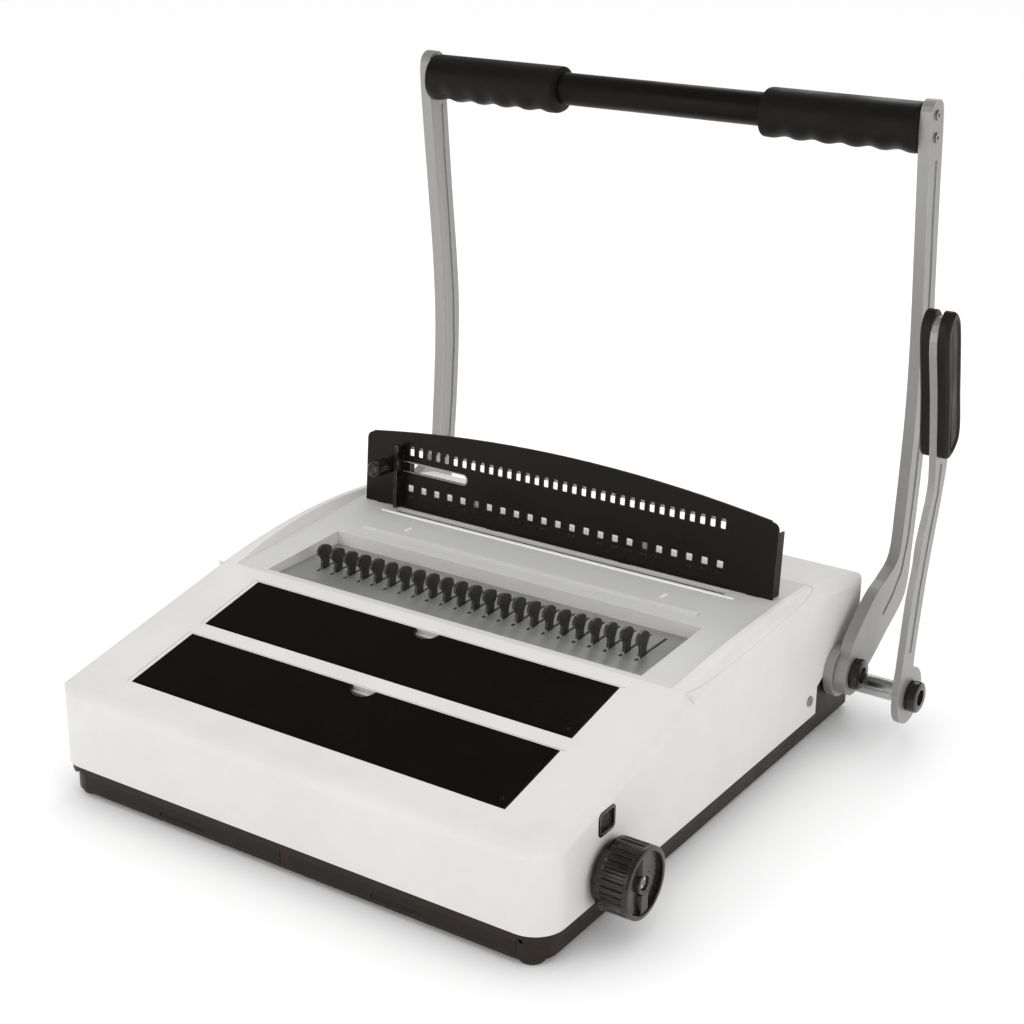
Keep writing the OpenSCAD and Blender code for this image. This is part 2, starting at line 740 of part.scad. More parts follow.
module punch_guide() {
    color([0.6, 0.6, 0.62]) difference() {
        block(-frame_in, frame_in, guide_front, guide_back, die_low, die_top);
        hole_row(guide_front - eps, guide_back + eps, run);
        both() rod_y(guide_rod_x, punch_z, guide_rod_r, guide_back - 7, guide_back + eps);
    }
}

module throat_spacers() {
    color([0.6, 0.6, 0.62]) {
        block(-throat_x - spacer_w, -throat_x - 0.5, die_back, guide_front, die_low, die_top);
        block(throat_x + 0.5, throat_x + spacer_w, die_back, guide_front, punch_z - 2, die_top);
    }
}

module ram_guide_rods() {
    color("silver") both() {
        rod_y(guide_rod_x, punch_z, guide_rod_r, guide_back - 7, ram_back + 6);
        rod_y(guide_rod_x, punch_z, guide_rod_r + 2, ram_back + 3, ram_back + 6);
    }
}

module punch_ram() {
    color([0.45, 0.47, 0.5]) difference() {
        union() {
            block(-ram_x, ram_x, ram_front, ram_back, punch_z - 8, punch_z + 7);
            both() block(cam_x - cam_t / 2 - 2, cam_x + cam_t / 2 + 2, ram_back - 12, ram_back, pivot_z - 7,
                punch_z - 8);
        }
        both() rod_y(guide_rod_x, punch_z, guide_rod_r + run, ram_front - eps, ram_back + eps);
        hole_row(ram_front - eps, ram_front + 6, 0);
    }
}

module punch_pins() color([0.75, 0.75, 0.77]) hole_row(guide_front + 0.5, ram_front + 6, 0);

module main_shaft() color([0.72, 0.72, 0.73]) rod_x(pivot_y, pivot_z, main_r, -arm_out, arm_out);

module punch_cams() {
    // the spiral grows from the side that faces the ram, over the top
    spiral = [for (a = [-20:4:cam_spread]) (cam_r0 + cam_k * a * PI / 180) * [-cos(a), sin(a)]];
    tail = [for (a = [cam_spread + 12:12:330]) (main_r + 4) * [-cos(a), sin(a)]];
    color([0.6, 0.58, 0.55]) both() translate([0, pivot_y, pivot_z])
        along_x(cam_x - cam_t / 2, cam_x + cam_t / 2) difference() {
            polygon(concat(spiral, tail));
            circle(main_r);
        }
}

// ---- Press handle ----

function arm_at(p) = [pivot_y + p[0], pivot_z + p[1] * (p[1] > 100 ? 1 + (arm_rise - 396) / 409 : 1)];
arm_front = [[62, 402], [66, 354], [71.5, 302], [75.5, 265], [78.5, 230], [80, 194], [79.5, 160], [76, 109],
    [71, 72], [52, 60], [32, 53], [12, 40], [-8, 20]];
arm_rear = [[4, -8], [28, -1.5], [56, 14], [84, 30], [92, 46], [95, 72], [99, 109], [102.5, 160],
    [103, 204], [99.5, 249], [95, 289], [89, 349], [84, 402], [79, 414], [68, 414.5]];
arm_groove = [[76, 372], [79, 330], [84, 285], [88, 240], [91, 204], [91.5, 165], [88, 115], [84, 80],
    [76, 56], [62, 42], [46, 32]];
outer_groove = 2.6;            // half widths of the grooves in an arm's faces
inner_groove = 5;
groove_t = 0.8;

module arm_outline() {
    polygon(smooth([for (p = concat(arm_front, arm_rear)) arm_at(p)], 4));
    translate([pivot_y, pivot_z]) circle(boss_r);
}

module handle_arm() {
    difference() {
        along_x(arm_in, arm_out) arm_outline();
        rod_x(pivot_y, pivot_z, main_r, arm_in - eps, arm_out + eps);
        // long shallow groove in both faces, wider on the inside
        along_x(arm_out - groove_t, arm_out + eps)
            polygon(ribbon([for (p = arm_groove) arm_at(p)], outer_groove));
        along_x(arm_in - eps, arm_in + groove_t)
            polygon(ribbon([for (k = [0:7]) arm_at(arm_groove[k])], inner_groove));
        for (p = screw_spots) rod_x(p[0], p[1], 2.5, arm_in - eps, arm_out + eps);
    }
}

screw_spots = [[bar_y - 3, bar_z + 9], [bar_y - 2, bar_z - 7]];

module handle_arm_left() color([0.74, 0.73, 0.72]) mirror([1, 0, 0]) handle_arm();
module handle_arm_right() color([0.74, 0.73, 0.72]) handle_arm();

module arm_screws() {
    color([0.25, 0.25, 0.26]) both() for (p = screw_spots) {
        difference() {
            rod_x(p[0], p[1], 3.6, arm_out, arm_out + 1.6);
            rod_x(p[0], p[1], 1.6, arm_out + 0.6, arm_out + 2, $fn = 6);
        }
        rod_x(p[0], p[1], 2.5, arm_in - 8, arm_out);
    }
}

module crossbar() {
    color([0.7, 0.7, 0.71]) difference() {
        rod_x(bar_y, bar_z, crossbar_d / 2, -arm_in, arm_in);
        both() for (p = screw_spots) rod_x(p[0], p[1], 2.5, arm_in - 8, arm_in + eps);
    }
}

module grip_profile() {
    // round over the crossbar, with a belly that hangs in front and below
    translate([bar_y, bar_z]) circle(17.5);
    translate([bar_y - 4, bar_z - 3]) circle(17);
    translate([bar_y - 14, bar_z - 4]) rounded(14, 26, 5);
}

module handle_grip() {
    x0 = arm_in - grip_len;
    scallops = 5;
    step = (grip_len - 8) / scallops;
    difference() {
        along_x(x0, arm_in - 0.4) grip_profile();
        rod_x(bar_y, bar_z, crossbar_d / 2, x0 - eps, arm_in + eps);
        for (i = [0:scallops - 1]) translate([x0 + 4 + (i + 0.5) * step, bar_y - 34, bar_z - 8])
            rotate([-12, 0, 0]) cylinder(r = step * 0.62, h = 90, center = true);
    }
}

module grip_left() color([0.07, 0.065, 0.06]) mirror([1, 0, 0]) handle_grip();
module grip_right() color([0.07, 0.065, 0.06]) handle_grip();

module domed_cap(y, z, x0, t) {
    rod_x(y, z, cap_r, x0, x0 + t - 2);
    translate([x0 + t - 2, y, z]) rotate([0, 90, 0]) cylinder(r1 = cap_r, r2 = cap_r - 2, h = 2);
}

module pivot_caps() color([0.07, 0.065, 0.06]) both() domed_cap(pivot_y, pivot_z, arm_out, cap_t);

// ---- Comb lever ----

function lever_at(p) = [comb_y + p[0], comb_z + p[1]];
lever_outline = [[-21.5, 2], [-19, 28], [-17, 43], [-11, 82], [-4, 105], [-1, 124], [12, 158], [11, 185],
    [3, 230], [-8, 276], [1, 292], [14, 284], [24, 240], [34, 187], [30, 155], [20, 118], [12, 85], [3, 31], [6, 19],
    [20, 4], [10, -14]];
grip_outline = [[10, 192], [3, 232], [-7, 274], [-6, 289], [2, 297], [12, 292], [18, 278], [27, 234],
    [33, 206], [30, 193], [17, 185]];

lever_groove = [[-7, 38], [0, 83], [9.5, 122], [20, 156], [22, 178]];

module comb_lever_arm() {
    color([0.72, 0.71, 0.7]) difference() {
        along_x(lever_in, lever_out) {
            polygon(smooth([for (p = lever_outline) lever_at(p)], 4));
            translate([comb_y, comb_z]) circle(22);
        }
        rod_x(comb_y, comb_z, comb_r, lever_in - eps, lever_out + eps);
        along_x(lever_out - groove_t, lever_out + eps)
            polygon(ribbon([for (p = lever_groove) lever_at(p)], outer_groove));
    }
}

module lever_grip(x0, x1) along_x(x0, x1) polygon(smooth([for (p = grip_outline) lever_at(p)], 4));

module lever_grip_outer() color([0.07, 0.065, 0.06]) lever_grip(lever_out, lever_out + grip_half_t);
module lever_grip_inner() color([0.07, 0.065, 0.06]) lever_grip(lever_in - grip_half_t, lever_in);
module lever_cap() color([0.07, 0.065, 0.06]) domed_cap(comb_y, comb_z, lever_out, grip_half_t);
module comb_shaft() color([0.74, 0.74, 0.75]) rod_x(comb_y, comb_z, comb_r, -frame_out - 2, lever_out);

// ---- Back plate ----

module plate_outline() {
    intersection() {
        union() {
            translate([-plate_x, gap]) square([2 * plate_x, plate_side_h - 6 - gap]);
            translate([-plate_x + 6, gap]) square([2 * plate_x - 12, 100]);
            for (s = [-1, 1]) translate([s * (plate_x - 6), plate_side_h - 6.1]) circle(6);
        }
        translate([0, plate_side_h + plate_bow - plate_bow_r]) circle(plate_bow_r, $fn = 720);
    }
}

module back_plate() {
    color([0.18, 0.15, 0.125]) on_plate() {
        difference() {
            union() {
                along_y(0, plate_t) plate_outline();
                both() block(plate_x - plate_t, plate_x, 0, 10, 1.6, plate_side_h - 8);
                for (x = tab_x) block(x - tab_w / 2, x + tab_w / 2, 0, plate_t, -foot_drop, 1);
            }
            for (i = [0:hole_count - 1]) translate([i * hole_pitch - row_half, 0, lower_z])
                along_y(-eps, plate_t + eps) rounded(5.5, 5.6, 0.8);
            for (i = [0:upper_count - 1]) translate([i * upper_pitch - upper_half, 0, upper_z])
                along_y(-eps, plate_t + eps) rounded(4.5, 8, 0.8);
            translate([(guide_slot[0] + guide_slot[1]) / 2, 0, slot_up]) along_y(-eps, plate_t + eps)
                rounded(guide_slot[1] - guide_slot[0], slot_w, slot_w / 2 - 0.01);
        }
    }
}

module hanger_strip() color([0.6, 0.6, 0.6]) on_plate()
    block(-upper_half - 3.5, upper_half + 3.5, plate_t, plate_t + 1, upper_z + 1.3, upper_z + 7.5);

module plate_brackets() {
    foot_y = plate_y + plate_t + 0.6;
    foot_end = foot_y + 18;
    color([0.5, 0.5, 0.5]) both() for (x = [70, 150]) {
        on_plate() block(x, x + 14, plate_t, plate_t + 2, 1, 22);
        along_x(x, x + 14) polygon([[foot_y, deck_z(foot_y)], [foot_end, deck_z(foot_end)],
            [foot_end, deck_z(foot_end) + 2], [foot_y, deck_z(foot_y) + 2]]);
    }
}

// ---- Edge guide ----

module edge_guide() {
    color([0.55, 0.5, 0.45]) on_plate() {
        // blade in front of the plate, joined through the slot to the block behind it
        block(guide_x, guide_x + 2.5, -9, -gap, 1.5, 53);
        block(guide_x, guide_x + 2.5, -1, plate_t + 1, slot_up - 3, slot_up + 3);
        difference() {
            block(guide_stem_x - 6, guide_x + 8, plate_t + gap, plate_t + 6, slot_up - 7, slot_up + 7);
            rod_y(guide_stem_x, slot_up, 2.5 + run, plate_t - eps, plate_t + 7);
        }
    }
}

module guide_knob() {
    color([0.06, 0.055, 0.05]) on_plate() {
        rod_y(guide_stem_x, slot_up, 2.5, -4, plate_t + 5);
        difference() {
            rod_y(guide_stem_x, slot_up, 6.3, -27.5, -gap);
            for (a = [0:30:330]) translate([guide_stem_x, 0, slot_up]) rotate([0, a, 0])
                rod_y(6.9, 0, 0.9, -28, -6);
        }
    }
}

// ---- Depth setting ----

module knob_bush() {
    color([0.6, 0.6, 0.6]) difference() {
        union() {
            rod_x(knob_y, knob_z, knob_shaft_r + 2.5, half_w - wall, half_w);
            rod_x(knob_y, knob_z, knob_shaft_r + 6, half_w, half_w + 1.5);
        }
        rod_x(knob_y, knob_z, knob_shaft_r + run, half_w - wall - eps, half_w + 3);
    }
}

knob_in = half_w + 5.5;
knob_out = knob_in + knob_len;

module depth_knob() {
    color([0.06, 0.055, 0.05]) difference() {
        union() {
            rod_x(knob_y, knob_z, knob_r - 3, half_w + 2, knob_in);
            rod_x(knob_y, knob_z, knob_r, knob_in, knob_out - 2);
            translate([knob_out - 2, knob_y, knob_z]) rotate([0, 90, 0])
                cylinder(r1 = knob_r, r2 = knob_r - 2, h = 2);
        }
        rod_x(knob_y, knob_z, knob_shaft_r, half_w, knob_out - 6);
        // grip ribs
        for (a = [0:12:348]) translate([0, knob_y, knob_z]) rotate([a, 0, 0])
            rod_x(knob_r + 1.1, 0, 2, knob_in + 4, knob_out + eps);
        // hollows either side of the raised bar
        for (s = [-1, 1]) intersection() {
            rod_x(knob_y, knob_z, knob_r - 5, knob_out - 4, knob_out + eps);
            block(knob_out - 5, knob_out + eps, knob_y + (s > 0 ? 5 : -knob_r), knob_y + (s > 0 ? knob_r : -5),
                knob_z - knob_r, knob_z + knob_r);
        }
        rod_x(knob_y, knob_z, 4, knob_out - 6, knob_out + eps);
    }
}

module knob_screw() {
    color([0.8, 0.8, 0.8]) difference() {
        rod_x(knob_y, knob_z, 3.8, knob_out - 6, knob_out - 2.5);
        block(knob_out - 3.5, knob_out, knob_y - 3, knob_y + 3, knob_z - 0.5, knob_z + 0.5);
        block(knob_out - 3.5, knob_out, knob_y - 0.5, knob_y + 0.5, knob_z - 3, knob_z + 3);
    }
}

module knob_shaft() color("silver") rod_x(knob_y, knob_z, knob_shaft_r, depth_x0, knob_out - 6);

module depth_dial() {
    color([0.1, 0.1, 0.1]) difference() {
        union() {
            rod_x(knob_y, knob_z, 9, dial_x - 4, dial_x + 1.5);
            intersection() {
                rod_x(knob_y, knob_z, dial_r, dial_x, dial_x + 1.5);
                along_x(dial_x - eps, dial_x + 3) polygon([[knob_y, knob_z - 3],
                    for (a = [35, 90, 145]) [knob_y, knob_z] + 90 * [cos(a), sin(a)]]);
            }
        }
        rod_x(knob_y, knob_z, knob_shaft_r, dial_x - 5, dial_x + 3);
    }
}

module depth_cam() {
    spiral = [for (a = [-75:5:80]) (depth_cam_r + depth_k * a * PI / 180) * [cos(a), -sin(a)]];
    tail = [for (a = [95:15:270]) 10 * [cos(a), -sin(a)]];
    color([0.75, 0.75, 0.76]) translate([0, knob_y, knob_z]) along_x(depth_x0, depth_x1) difference() {
        polygon(concat(spiral, tail));
        circle(knob_shaft_r);
    }
}

module knob_bracket() {
    x0 = depth_x1 + 3;
    color([0.5, 0.5, 0.52]) difference() {
        union() {
            block(x0, x0 + 4, knob_y - 14, knob_y + 14, base_floor, knob_z + 12);
            block(x0, x0 + 12, knob_y - 14, knob_y + 14, base_floor, base_floor + 3);
        }
        rod_x(knob_y, knob_z, knob_shaft_r + run, x0 - eps, x0 + 4 + eps);
    }
}

rod_start = knob_y + depth_reach + gap;
ramp_y = slit_y - 13;
ramp_top = depth_bar_z + depth_bar_h + ramp_rise;
function ramp_z(y) = ramp_top - (y - ramp_y) / 2;

module depth_rod() {
    z0 = depth_bar_z;
    color([0.75, 0.75, 0.76]) along_x(depth_x0, depth_x1) polygon([[rod_start, z0],
        [rod_start, z0 + depth_bar_h], [ramp_y - 14, z0 + depth_bar_h], [ramp_y - 2, ramp_top],
        [ramp_y, ramp_top], [ramp_y + 24, ramp_z(ramp_y + 24)], [ramp_y + 24, z0]]);
}

module rod_guides() {
    x0 = depth_x0 - 3;
    color([0.5, 0.5, 0.52]) for (y = [knob_y + 50, ramp_y - 40]) difference() {
        union() {
            block(x0, depth_x1 + 3, y, y + 8, depth_bar_z - 3, depth_bar_z + depth_bar_h + 3);
            block(depth_x1 + gap, depth_x1 + 3, y, y + 8, base_floor, depth_bar_z);
        }
        block(depth_x0 - gap, depth_x1 + gap, y - eps, y + 8 + eps, depth_bar_z - gap,
            depth_bar_z + depth_bar_h + gap);
    }
}

module depth_stop() {
    y0 = die_back + 0.2;
    y1 = guide_front - 0.2;
    blade_top = punch_z - hole_h / 2 - 3.5;
    color([0.7, 0.7, 0.72]) {
        block(-throat_x + 1, depth_x1, y0, y1, blade_top - 9, blade_top);
        along_x(depth_x0, depth_x1) polygon([[y0, ramp_z(y0) + gap], [y1, ramp_z(y1) + gap],
            [y1, blade_top - 8], [y0, blade_top - 8]]);
    }
}

module window_lens() {
    color([0.15, 0.15, 0.16]) translate([0, window_y, window_z]) along_x(half_w - wall, half_w - 1.2)
        rounded(window_w - 0.1, window_h - 0.1, 2.95);
}

at_origin() base_tray();
at_origin() rubber_feet();
at_origin() housing_cover();
at_origin() cover_screws();
at_origin() side_frame_left();
at_origin() side_frame_right();
at_origin() tie_rods();
at_origin() handle_bushes();
at_origin() comb_bushes();
at_origin() front_well();
at_origin() rear_well();
at_origin() front_lid();
at_origin() rear_lid();
at_origin() lid_pins();
at_origin() comb_plate();
at_origin() carriage_rods();
at_origin() rod_blocks();
at_origin() die_plate();
at_origin() punch_guide();
at_origin() throat_spacers();
at_origin() ram_guide_rods();
at_origin() back_plate();
at_origin() hanger_strip();
at_origin() plate_brackets();
at_origin() window_lens();
at_origin() knob_bracket();
at_origin() knob_bush();
at_origin() rod_guides();
at_origin() handle_arm_left();
at_origin() handle_arm_right();
at_origin() crossbar();
at_origin() grip_left();
at_origin() grip_right();
at_origin() arm_screws();
at_origin() pivot_caps();
at_origin() main_shaft();
at_origin() punch_cams();
at_origin() punch_ram();
at_origin() punch_pins();
at_origin() comb_lever_arm();
at_origin() lever_grip_outer();
at_origin() lever_grip_inner();
at_origin() lever_cap();
at_origin() comb_shaft();
at_origin() comb_gears();
at_origin() idler_gears();
at_origin() carriage_beam();
at_origin() comb_fingers();
at_origin() carriage_racks();
at_origin() depth_knob();
at_origin() knob_screw();
at_origin() knob_shaft();
at_origin() depth_cam();
at_origin() depth_dial();
at_origin() depth_rod();
at_origin() depth_stop();
at_origin() edge_guide();
at_origin() guide_knob();
at_origin() chip_tray_left();
at_origin() chip_tray_right();
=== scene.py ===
import json
import math

import bmesh
import bpy
from mathutils import Matrix, Vector


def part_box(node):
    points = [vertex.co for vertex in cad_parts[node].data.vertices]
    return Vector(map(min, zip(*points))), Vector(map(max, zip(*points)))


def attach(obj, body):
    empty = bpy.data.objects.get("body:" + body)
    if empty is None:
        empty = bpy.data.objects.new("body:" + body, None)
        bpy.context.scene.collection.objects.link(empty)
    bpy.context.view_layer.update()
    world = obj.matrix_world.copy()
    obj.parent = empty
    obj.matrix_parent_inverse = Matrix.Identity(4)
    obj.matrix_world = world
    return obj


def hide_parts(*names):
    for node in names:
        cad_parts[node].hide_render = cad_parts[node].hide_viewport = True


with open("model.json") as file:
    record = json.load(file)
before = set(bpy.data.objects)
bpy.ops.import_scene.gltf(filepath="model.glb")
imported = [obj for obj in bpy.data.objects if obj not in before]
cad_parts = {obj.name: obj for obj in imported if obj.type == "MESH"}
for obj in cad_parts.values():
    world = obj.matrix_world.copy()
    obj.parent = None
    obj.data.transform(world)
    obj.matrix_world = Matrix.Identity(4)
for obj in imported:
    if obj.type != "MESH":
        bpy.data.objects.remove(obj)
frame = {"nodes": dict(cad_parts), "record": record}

# A desktop comb binding machine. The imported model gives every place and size; this script gives each
# part its finish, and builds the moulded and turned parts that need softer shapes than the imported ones.

MM = 0.001
UP = Vector((0, 0, 1))
RIGHT = Vector((1, 0, 0))

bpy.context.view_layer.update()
nodes = frame["nodes"]
joints = {joint["name"]: joint for joint in frame["record"]["behaviour"]["joints"]}


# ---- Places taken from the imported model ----

def low(node):
    return Vector(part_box(node)[0])


def high(node):
    return Vector(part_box(node)[1])


def middle(node):
    return (low(node) + high(node)) / 2


def joint_place(name):
    return Vector(joints[name]["pos_m"])


# ---- Shader groups: effects that several finishes share ----

def make_group(name, inputs, outputs):
    group = bpy.data.node_groups.new(name, "ShaderNodeTree")
    for kind, label, value in inputs:
        socket = group.interface.new_socket(label, in_out="INPUT", socket_type="NodeSocket" + kind)
        if value is not None:
            socket.default_value = value
    for kind, label in outputs:
        group.interface.new_socket(label, in_out="OUTPUT", socket_type="NodeSocket" + kind)
    return group, group.nodes.new("NodeGroupInput"), group.nodes.new("NodeGroupOutput")


def add_node(tree, kind, **settings):
    node = tree.nodes.new("ShaderNode" + kind)
    for key, value in settings.items():
        setattr(node, key, value)
    return node


def math_node(tree, operation, first, second=None, clamp=False):
    node = add_node(tree, "Math", operation=operation, use_clamp=clamp)
    for socket, value in zip(node.inputs, (first, second)):
        if isinstance(value, bpy.types.NodeSocket):
            tree.links.new(value, socket)
        elif value is not None:
            socket.default_value = value
    return node.outputs[0]


def noise_node(tree, place, scale, detail=4.0, rough=0.55):
    node = add_node(tree, "TexNoise")
    tree.links.new(place, node.inputs["Vector"])
    for label, value in (("Scale", scale), ("Detail", detail), ("Roughness", rough)):
        if isinstance(value, bpy.types.NodeSocket):
            tree.links.new(value, node.inputs[label])
        else:
            node.inputs[label].default_value = value
    return node.outputs["Fac"]


def remap(tree, value, from_low, from_high, to_low=0.0, to_high=1.0):
    node = add_node(tree, "MapRange")
    tree.links.new(value, node.inputs["Value"])
    limits = {"From Min": from_low, "From Max": from_high, "To Min": to_low, "To Max": to_high}
    for label, number in limits.items():
        if isinstance(number, bpy.types.NodeSocket):
            tree.links.new(number, node.inputs[label])
        else:
            node.inputs[label].default_value = number
    return node.outputs["Result"]


def mix_colour(tree, amount, first, second):
    node = add_node(tree, "Mix", data_type="RGBA", blend_type="MIX")
    for index, value in ((0, amount), (6, first), (7, second)):
        if isinstance(value, bpy.types.NodeSocket):
            tree.links.new(value, node.inputs[index])
        else:
            node.inputs[index].default_value = value
    return node.outputs[2]


def edge_wear_and_highlight_group():
    """Mask of rubbed edges, which also lays the painted highlight on the edges of the lids and back plate:
    where the rounded normal leaves the true one, broken up by noise.
    """
    group, given, result = make_group(
        "edge_wear_and_highlight",
        [("Vector", "Place", None), ("Float", "Radius", 0.0006), ("Float", "Scale", 180.0),
         ("Float", "Amount", 0.5)],
        [("Float", "Mask")],
    )
    rounded = add_node(group, "Bevel", samples=4)
    group.links.new(given.outputs["Radius"], rounded.inputs["Radius"])
    shape = add_node(group, "NewGeometry")
    product = add_node(group, "VectorMath", operation="DOT_PRODUCT")
    group.links.new(rounded.outputs["Normal"], product.inputs[0])
    group.links.new(shape.outputs["True Normal"], product.inputs[1])
    edge = remap(group, product.outputs["Value"], 0.995, 0.86)
    patches = noise_node(group, given.outputs["Place"], given.outputs["Scale"], 5.0, 0.6)
    worn_and_lit = math_node(group, "MULTIPLY", edge, remap(group, patches, 0.35, 0.62))
    amount = math_node(group, "MULTIPLY", worn_and_lit, given.outputs["Amount"], clamp=True)
    group.links.new(amount, result.inputs["Mask"])
    return group


def grain_group():
    """Height of a fine moulded or powder-coated texture, with slow undulation under it."""
    group, given, result = make_group(
        "surface_grain",
        [("Vector", "Place", None), ("Float", "Scale", 1800.0), ("Float", "Wave", 0.25)],
        [("Float", "Height")],
    )
    fine = noise_node(group, given.outputs["Place"], given.outputs["Scale"], 3.0, 0.6)
    slow = noise_node(group, given.outputs["Place"], 60.0, 2.0, 0.4)
    waves = math_node(group, "MULTIPLY", slow, given.outputs["Wave"])
    group.links.new(math_node(group, "ADD", fine, waves), result.inputs["Height"])
    return group


def tone_group():
    """Slow change of colour and roughness that handling and moulding leave."""
    group, given, result = make_group(
        "tone_variation",
        [("Vector", "Place", None), ("Color", "Colour", (0.5, 0.5, 0.5, 1)), ("Float", "Scale", 22.0),
         ("Float", "Depth", 0.12)],
        [("Color", "Colour"), ("Float", "Spread")],
    )
    broad = noise_node(group, given.outputs["Place"], given.outputs["Scale"], 6.0, 0.62)
    centred = remap(group, broad, 0.3, 0.7, -1.0, 1.0)
    change = math_node(group, "MULTIPLY", centred, given.outputs["Depth"])
    factor = math_node(group, "ADD", change, 1.0)
    scaled = add_node(group, "VectorMath", operation="SCALE")
    group.links.new(given.outputs["Colour"], scaled.inputs[0])
    group.links.new(factor, scaled.inputs["Scale"])
    group.links.new(scaled.outputs["Vector"], result.inputs["Colour"])
    group.links.new(change, result.inputs["Spread"])
    return group


def brushed_group():
    """Fine parallel lines of ground or extruded metal, along the stretched direction."""
    group, given, result = make_group(
        "brushed_lines",
        [("Vector", "Place", None), ("Vector", "Stretch", (1, 1, 1)), ("Float", "Scale", 900.0)],
        [("Float", "Lines")],
    )
    stretched = add_node(group, "VectorMath", operation="MULTIPLY")
    group.links.new(given.outputs["Place"], stretched.inputs[0])
    group.links.new(given.outputs["Stretch"], stretched.inputs[1])
    lines = noise_node(group, stretched.outputs["Vector"], given.outputs["Scale"], 4.0, 0.7)
    group.links.new(remap(group, lines, 0.3, 0.7), result.inputs["Lines"])
    return group


def dust_group():
    """Mask of light dust that settles on faces that look up."""
    group, given, result = make_group(
        "settled_dust", [("Vector", "Place", None), ("Float", "Amount", 0.1)], [("Float", "Mask")])
    shape = add_node(group, "NewGeometry")
    parts = add_node(group, "SeparateXYZ")
    group.links.new(shape.outputs["Normal"], parts.inputs[0])
    facing_up = remap(group, parts.outputs["Z"], 0.5, 1.0)
    specks = noise_node(group, given.outputs["Place"], 400.0, 8.0, 0.75)
    patches = noise_node(group, given.outputs["Place"], 18.0, 3.0, 0.5)
    cover = math_node(group, "MULTIPLY", remap(group, specks, 0.5, 0.75), remap(group, patches, 0.35, 0.7))
    facing_cover = math_node(group, "MULTIPLY", cover, facing_up)
    settled = math_node(group, "MULTIPLY", facing_cover, given.outputs["Amount"])
    group.links.new(settled, result.inputs["Mask"])
    return group


EDGE_WEAR_AND_HIGHLIGHT = edge_wear_and_highlight_group()
GRAIN = grain_group()
TONE = tone_group()
BRUSHED = brushed_group()
DUST = dust_group()
DUST_COLOUR = (0.62, 0.6, 0.57, 1)


def use_group(tree, group, place, **values):
    node = add_node(tree, "Group", node_tree=group)
    tree.links.new(place, node.inputs["Place"])
    for label, value in values.items():
        node.inputs[label].default_value = value
    return node


# ---- Finishes ----

TONE_ROUGHNESS = 0.8      # how far the roughness follows the slow change of tone
LINE_SHADE = 0.72         # colour of a ground line, as a share of the metal's own
LINE_CONTRAST = 2.2
WORN_GAIN = 1.5           # a rubbed edge is this much paler, where no colour is given for it
WORN_LIFT = 0.03
DUST_ROUGHNESS = 0.4
COAT_ROUGHNESS = 0.08


def finish(name, colour, rough, metal=0.0, coat=0.0, grain=1800.0, grain_height=0.00002, wave=0.25,
           tone=0.08, wear_and_highlight=0.4, wear_and_highlight_colour=None, wear_and_highlight_radius=0.0006, dust=0.1, lines=None, line_depth=0.12,
           specular=0.5, extra_colour=None):
    """A material whose colour, roughness and relief vary over the surface."""
    material = bpy.data.materials.new(name)
    material.use_nodes = True
    tree = material.node_tree
    shader = tree.nodes["Principled BSDF"]
    place = add_node(tree, "TexCoord").outputs["Object"]
    tones = use_group(tree, TONE, place, Colour=(*colour, 1), Depth=tone)
    shade = tones.outputs["Colour"]
    if extra_colour:
        shade = extra_colour(tree, place, shade)
    unevenness = math_node(tree, "MULTIPLY", tones.outputs["Spread"], TONE_ROUGHNESS)
    roughness = math_node(tree, "ADD", unevenness, rough)
    if lines:
        streaks = use_group(tree, BRUSHED, place, Stretch=lines).outputs["Lines"]
        dark = tuple(channel * LINE_SHADE for channel in colour) + (1,)
        contrast = math_node(tree, "MULTIPLY", streaks, line_depth * LINE_CONTRAST)
        shade = mix_colour(tree, contrast, shade, dark)
        roughness = math_node(tree, "ADD", roughness, math_node(tree, "MULTIPLY", streaks, line_depth))
    # Rubbed edges; on the lids and back plate the edge colour is also painted highlight.
    edge = use_group(tree, EDGE_WEAR_AND_HIGHLIGHT, place, Radius=wear_and_highlight_radius, Amount=wear_and_highlight)
    worn_and_lit = wear_and_highlight_colour or tuple(min(1.0, channel * WORN_GAIN + WORN_LIFT) for channel in colour)
    shade = mix_colour(tree, edge.outputs["Mask"], shade, (*worn_and_lit, 1))
    dusty = use_group(tree, DUST, place, Amount=dust)
    shade = mix_colour(tree, dusty.outputs["Mask"], shade, DUST_COLOUR)
    dulling = math_node(tree, "MULTIPLY", dusty.outputs["Mask"], DUST_ROUGHNESS)
    roughness = math_node(tree, "ADD", roughness, dulling, clamp=True)
    relief = use_group(tree, GRAIN, place, Scale=grain, Wave=wave)
    bump = add_node(tree, "Bump")
    bump.inputs["Strength"].default_value = 1.0
    bump.inputs["Distance"].default_value = grain_height
    tree.links.new(relief.outputs["Height"], bump.inputs["Height"])
    tree.links.new(shade, shader.inputs["Base Color"])
    tree.links.new(roughness, shader.inputs["Roughness"])
    tree.links.new(bump.outputs["Normal"], shader.inputs["Normal"])
    shader.inputs["Metallic"].default_value = metal
    shader.inputs["Coat Weight"].default_value = coat
    shader.inputs["Coat Roughness"].default_value = COAT_ROUGHNESS
    shader.inputs["Specular IOR Level"].default_value = specular
    return material


DECK_RISE = 0.045         # slope of the deck, per unit of depth
DECK_LIFT = 3.9 * MM      # the deck's height over the back plate's lowest corner
DECK_EDGE = 2 * MM        # the deck starts this far in front of the comb plate
DECK_BAND = 0.35 * MM     # only faces this close to the deck's plane take the painted shade
# Colour of the painted shade on the recessed deck
DECK_SHADE_COLOUR = (0.565, 0.562, 0.552, 1)


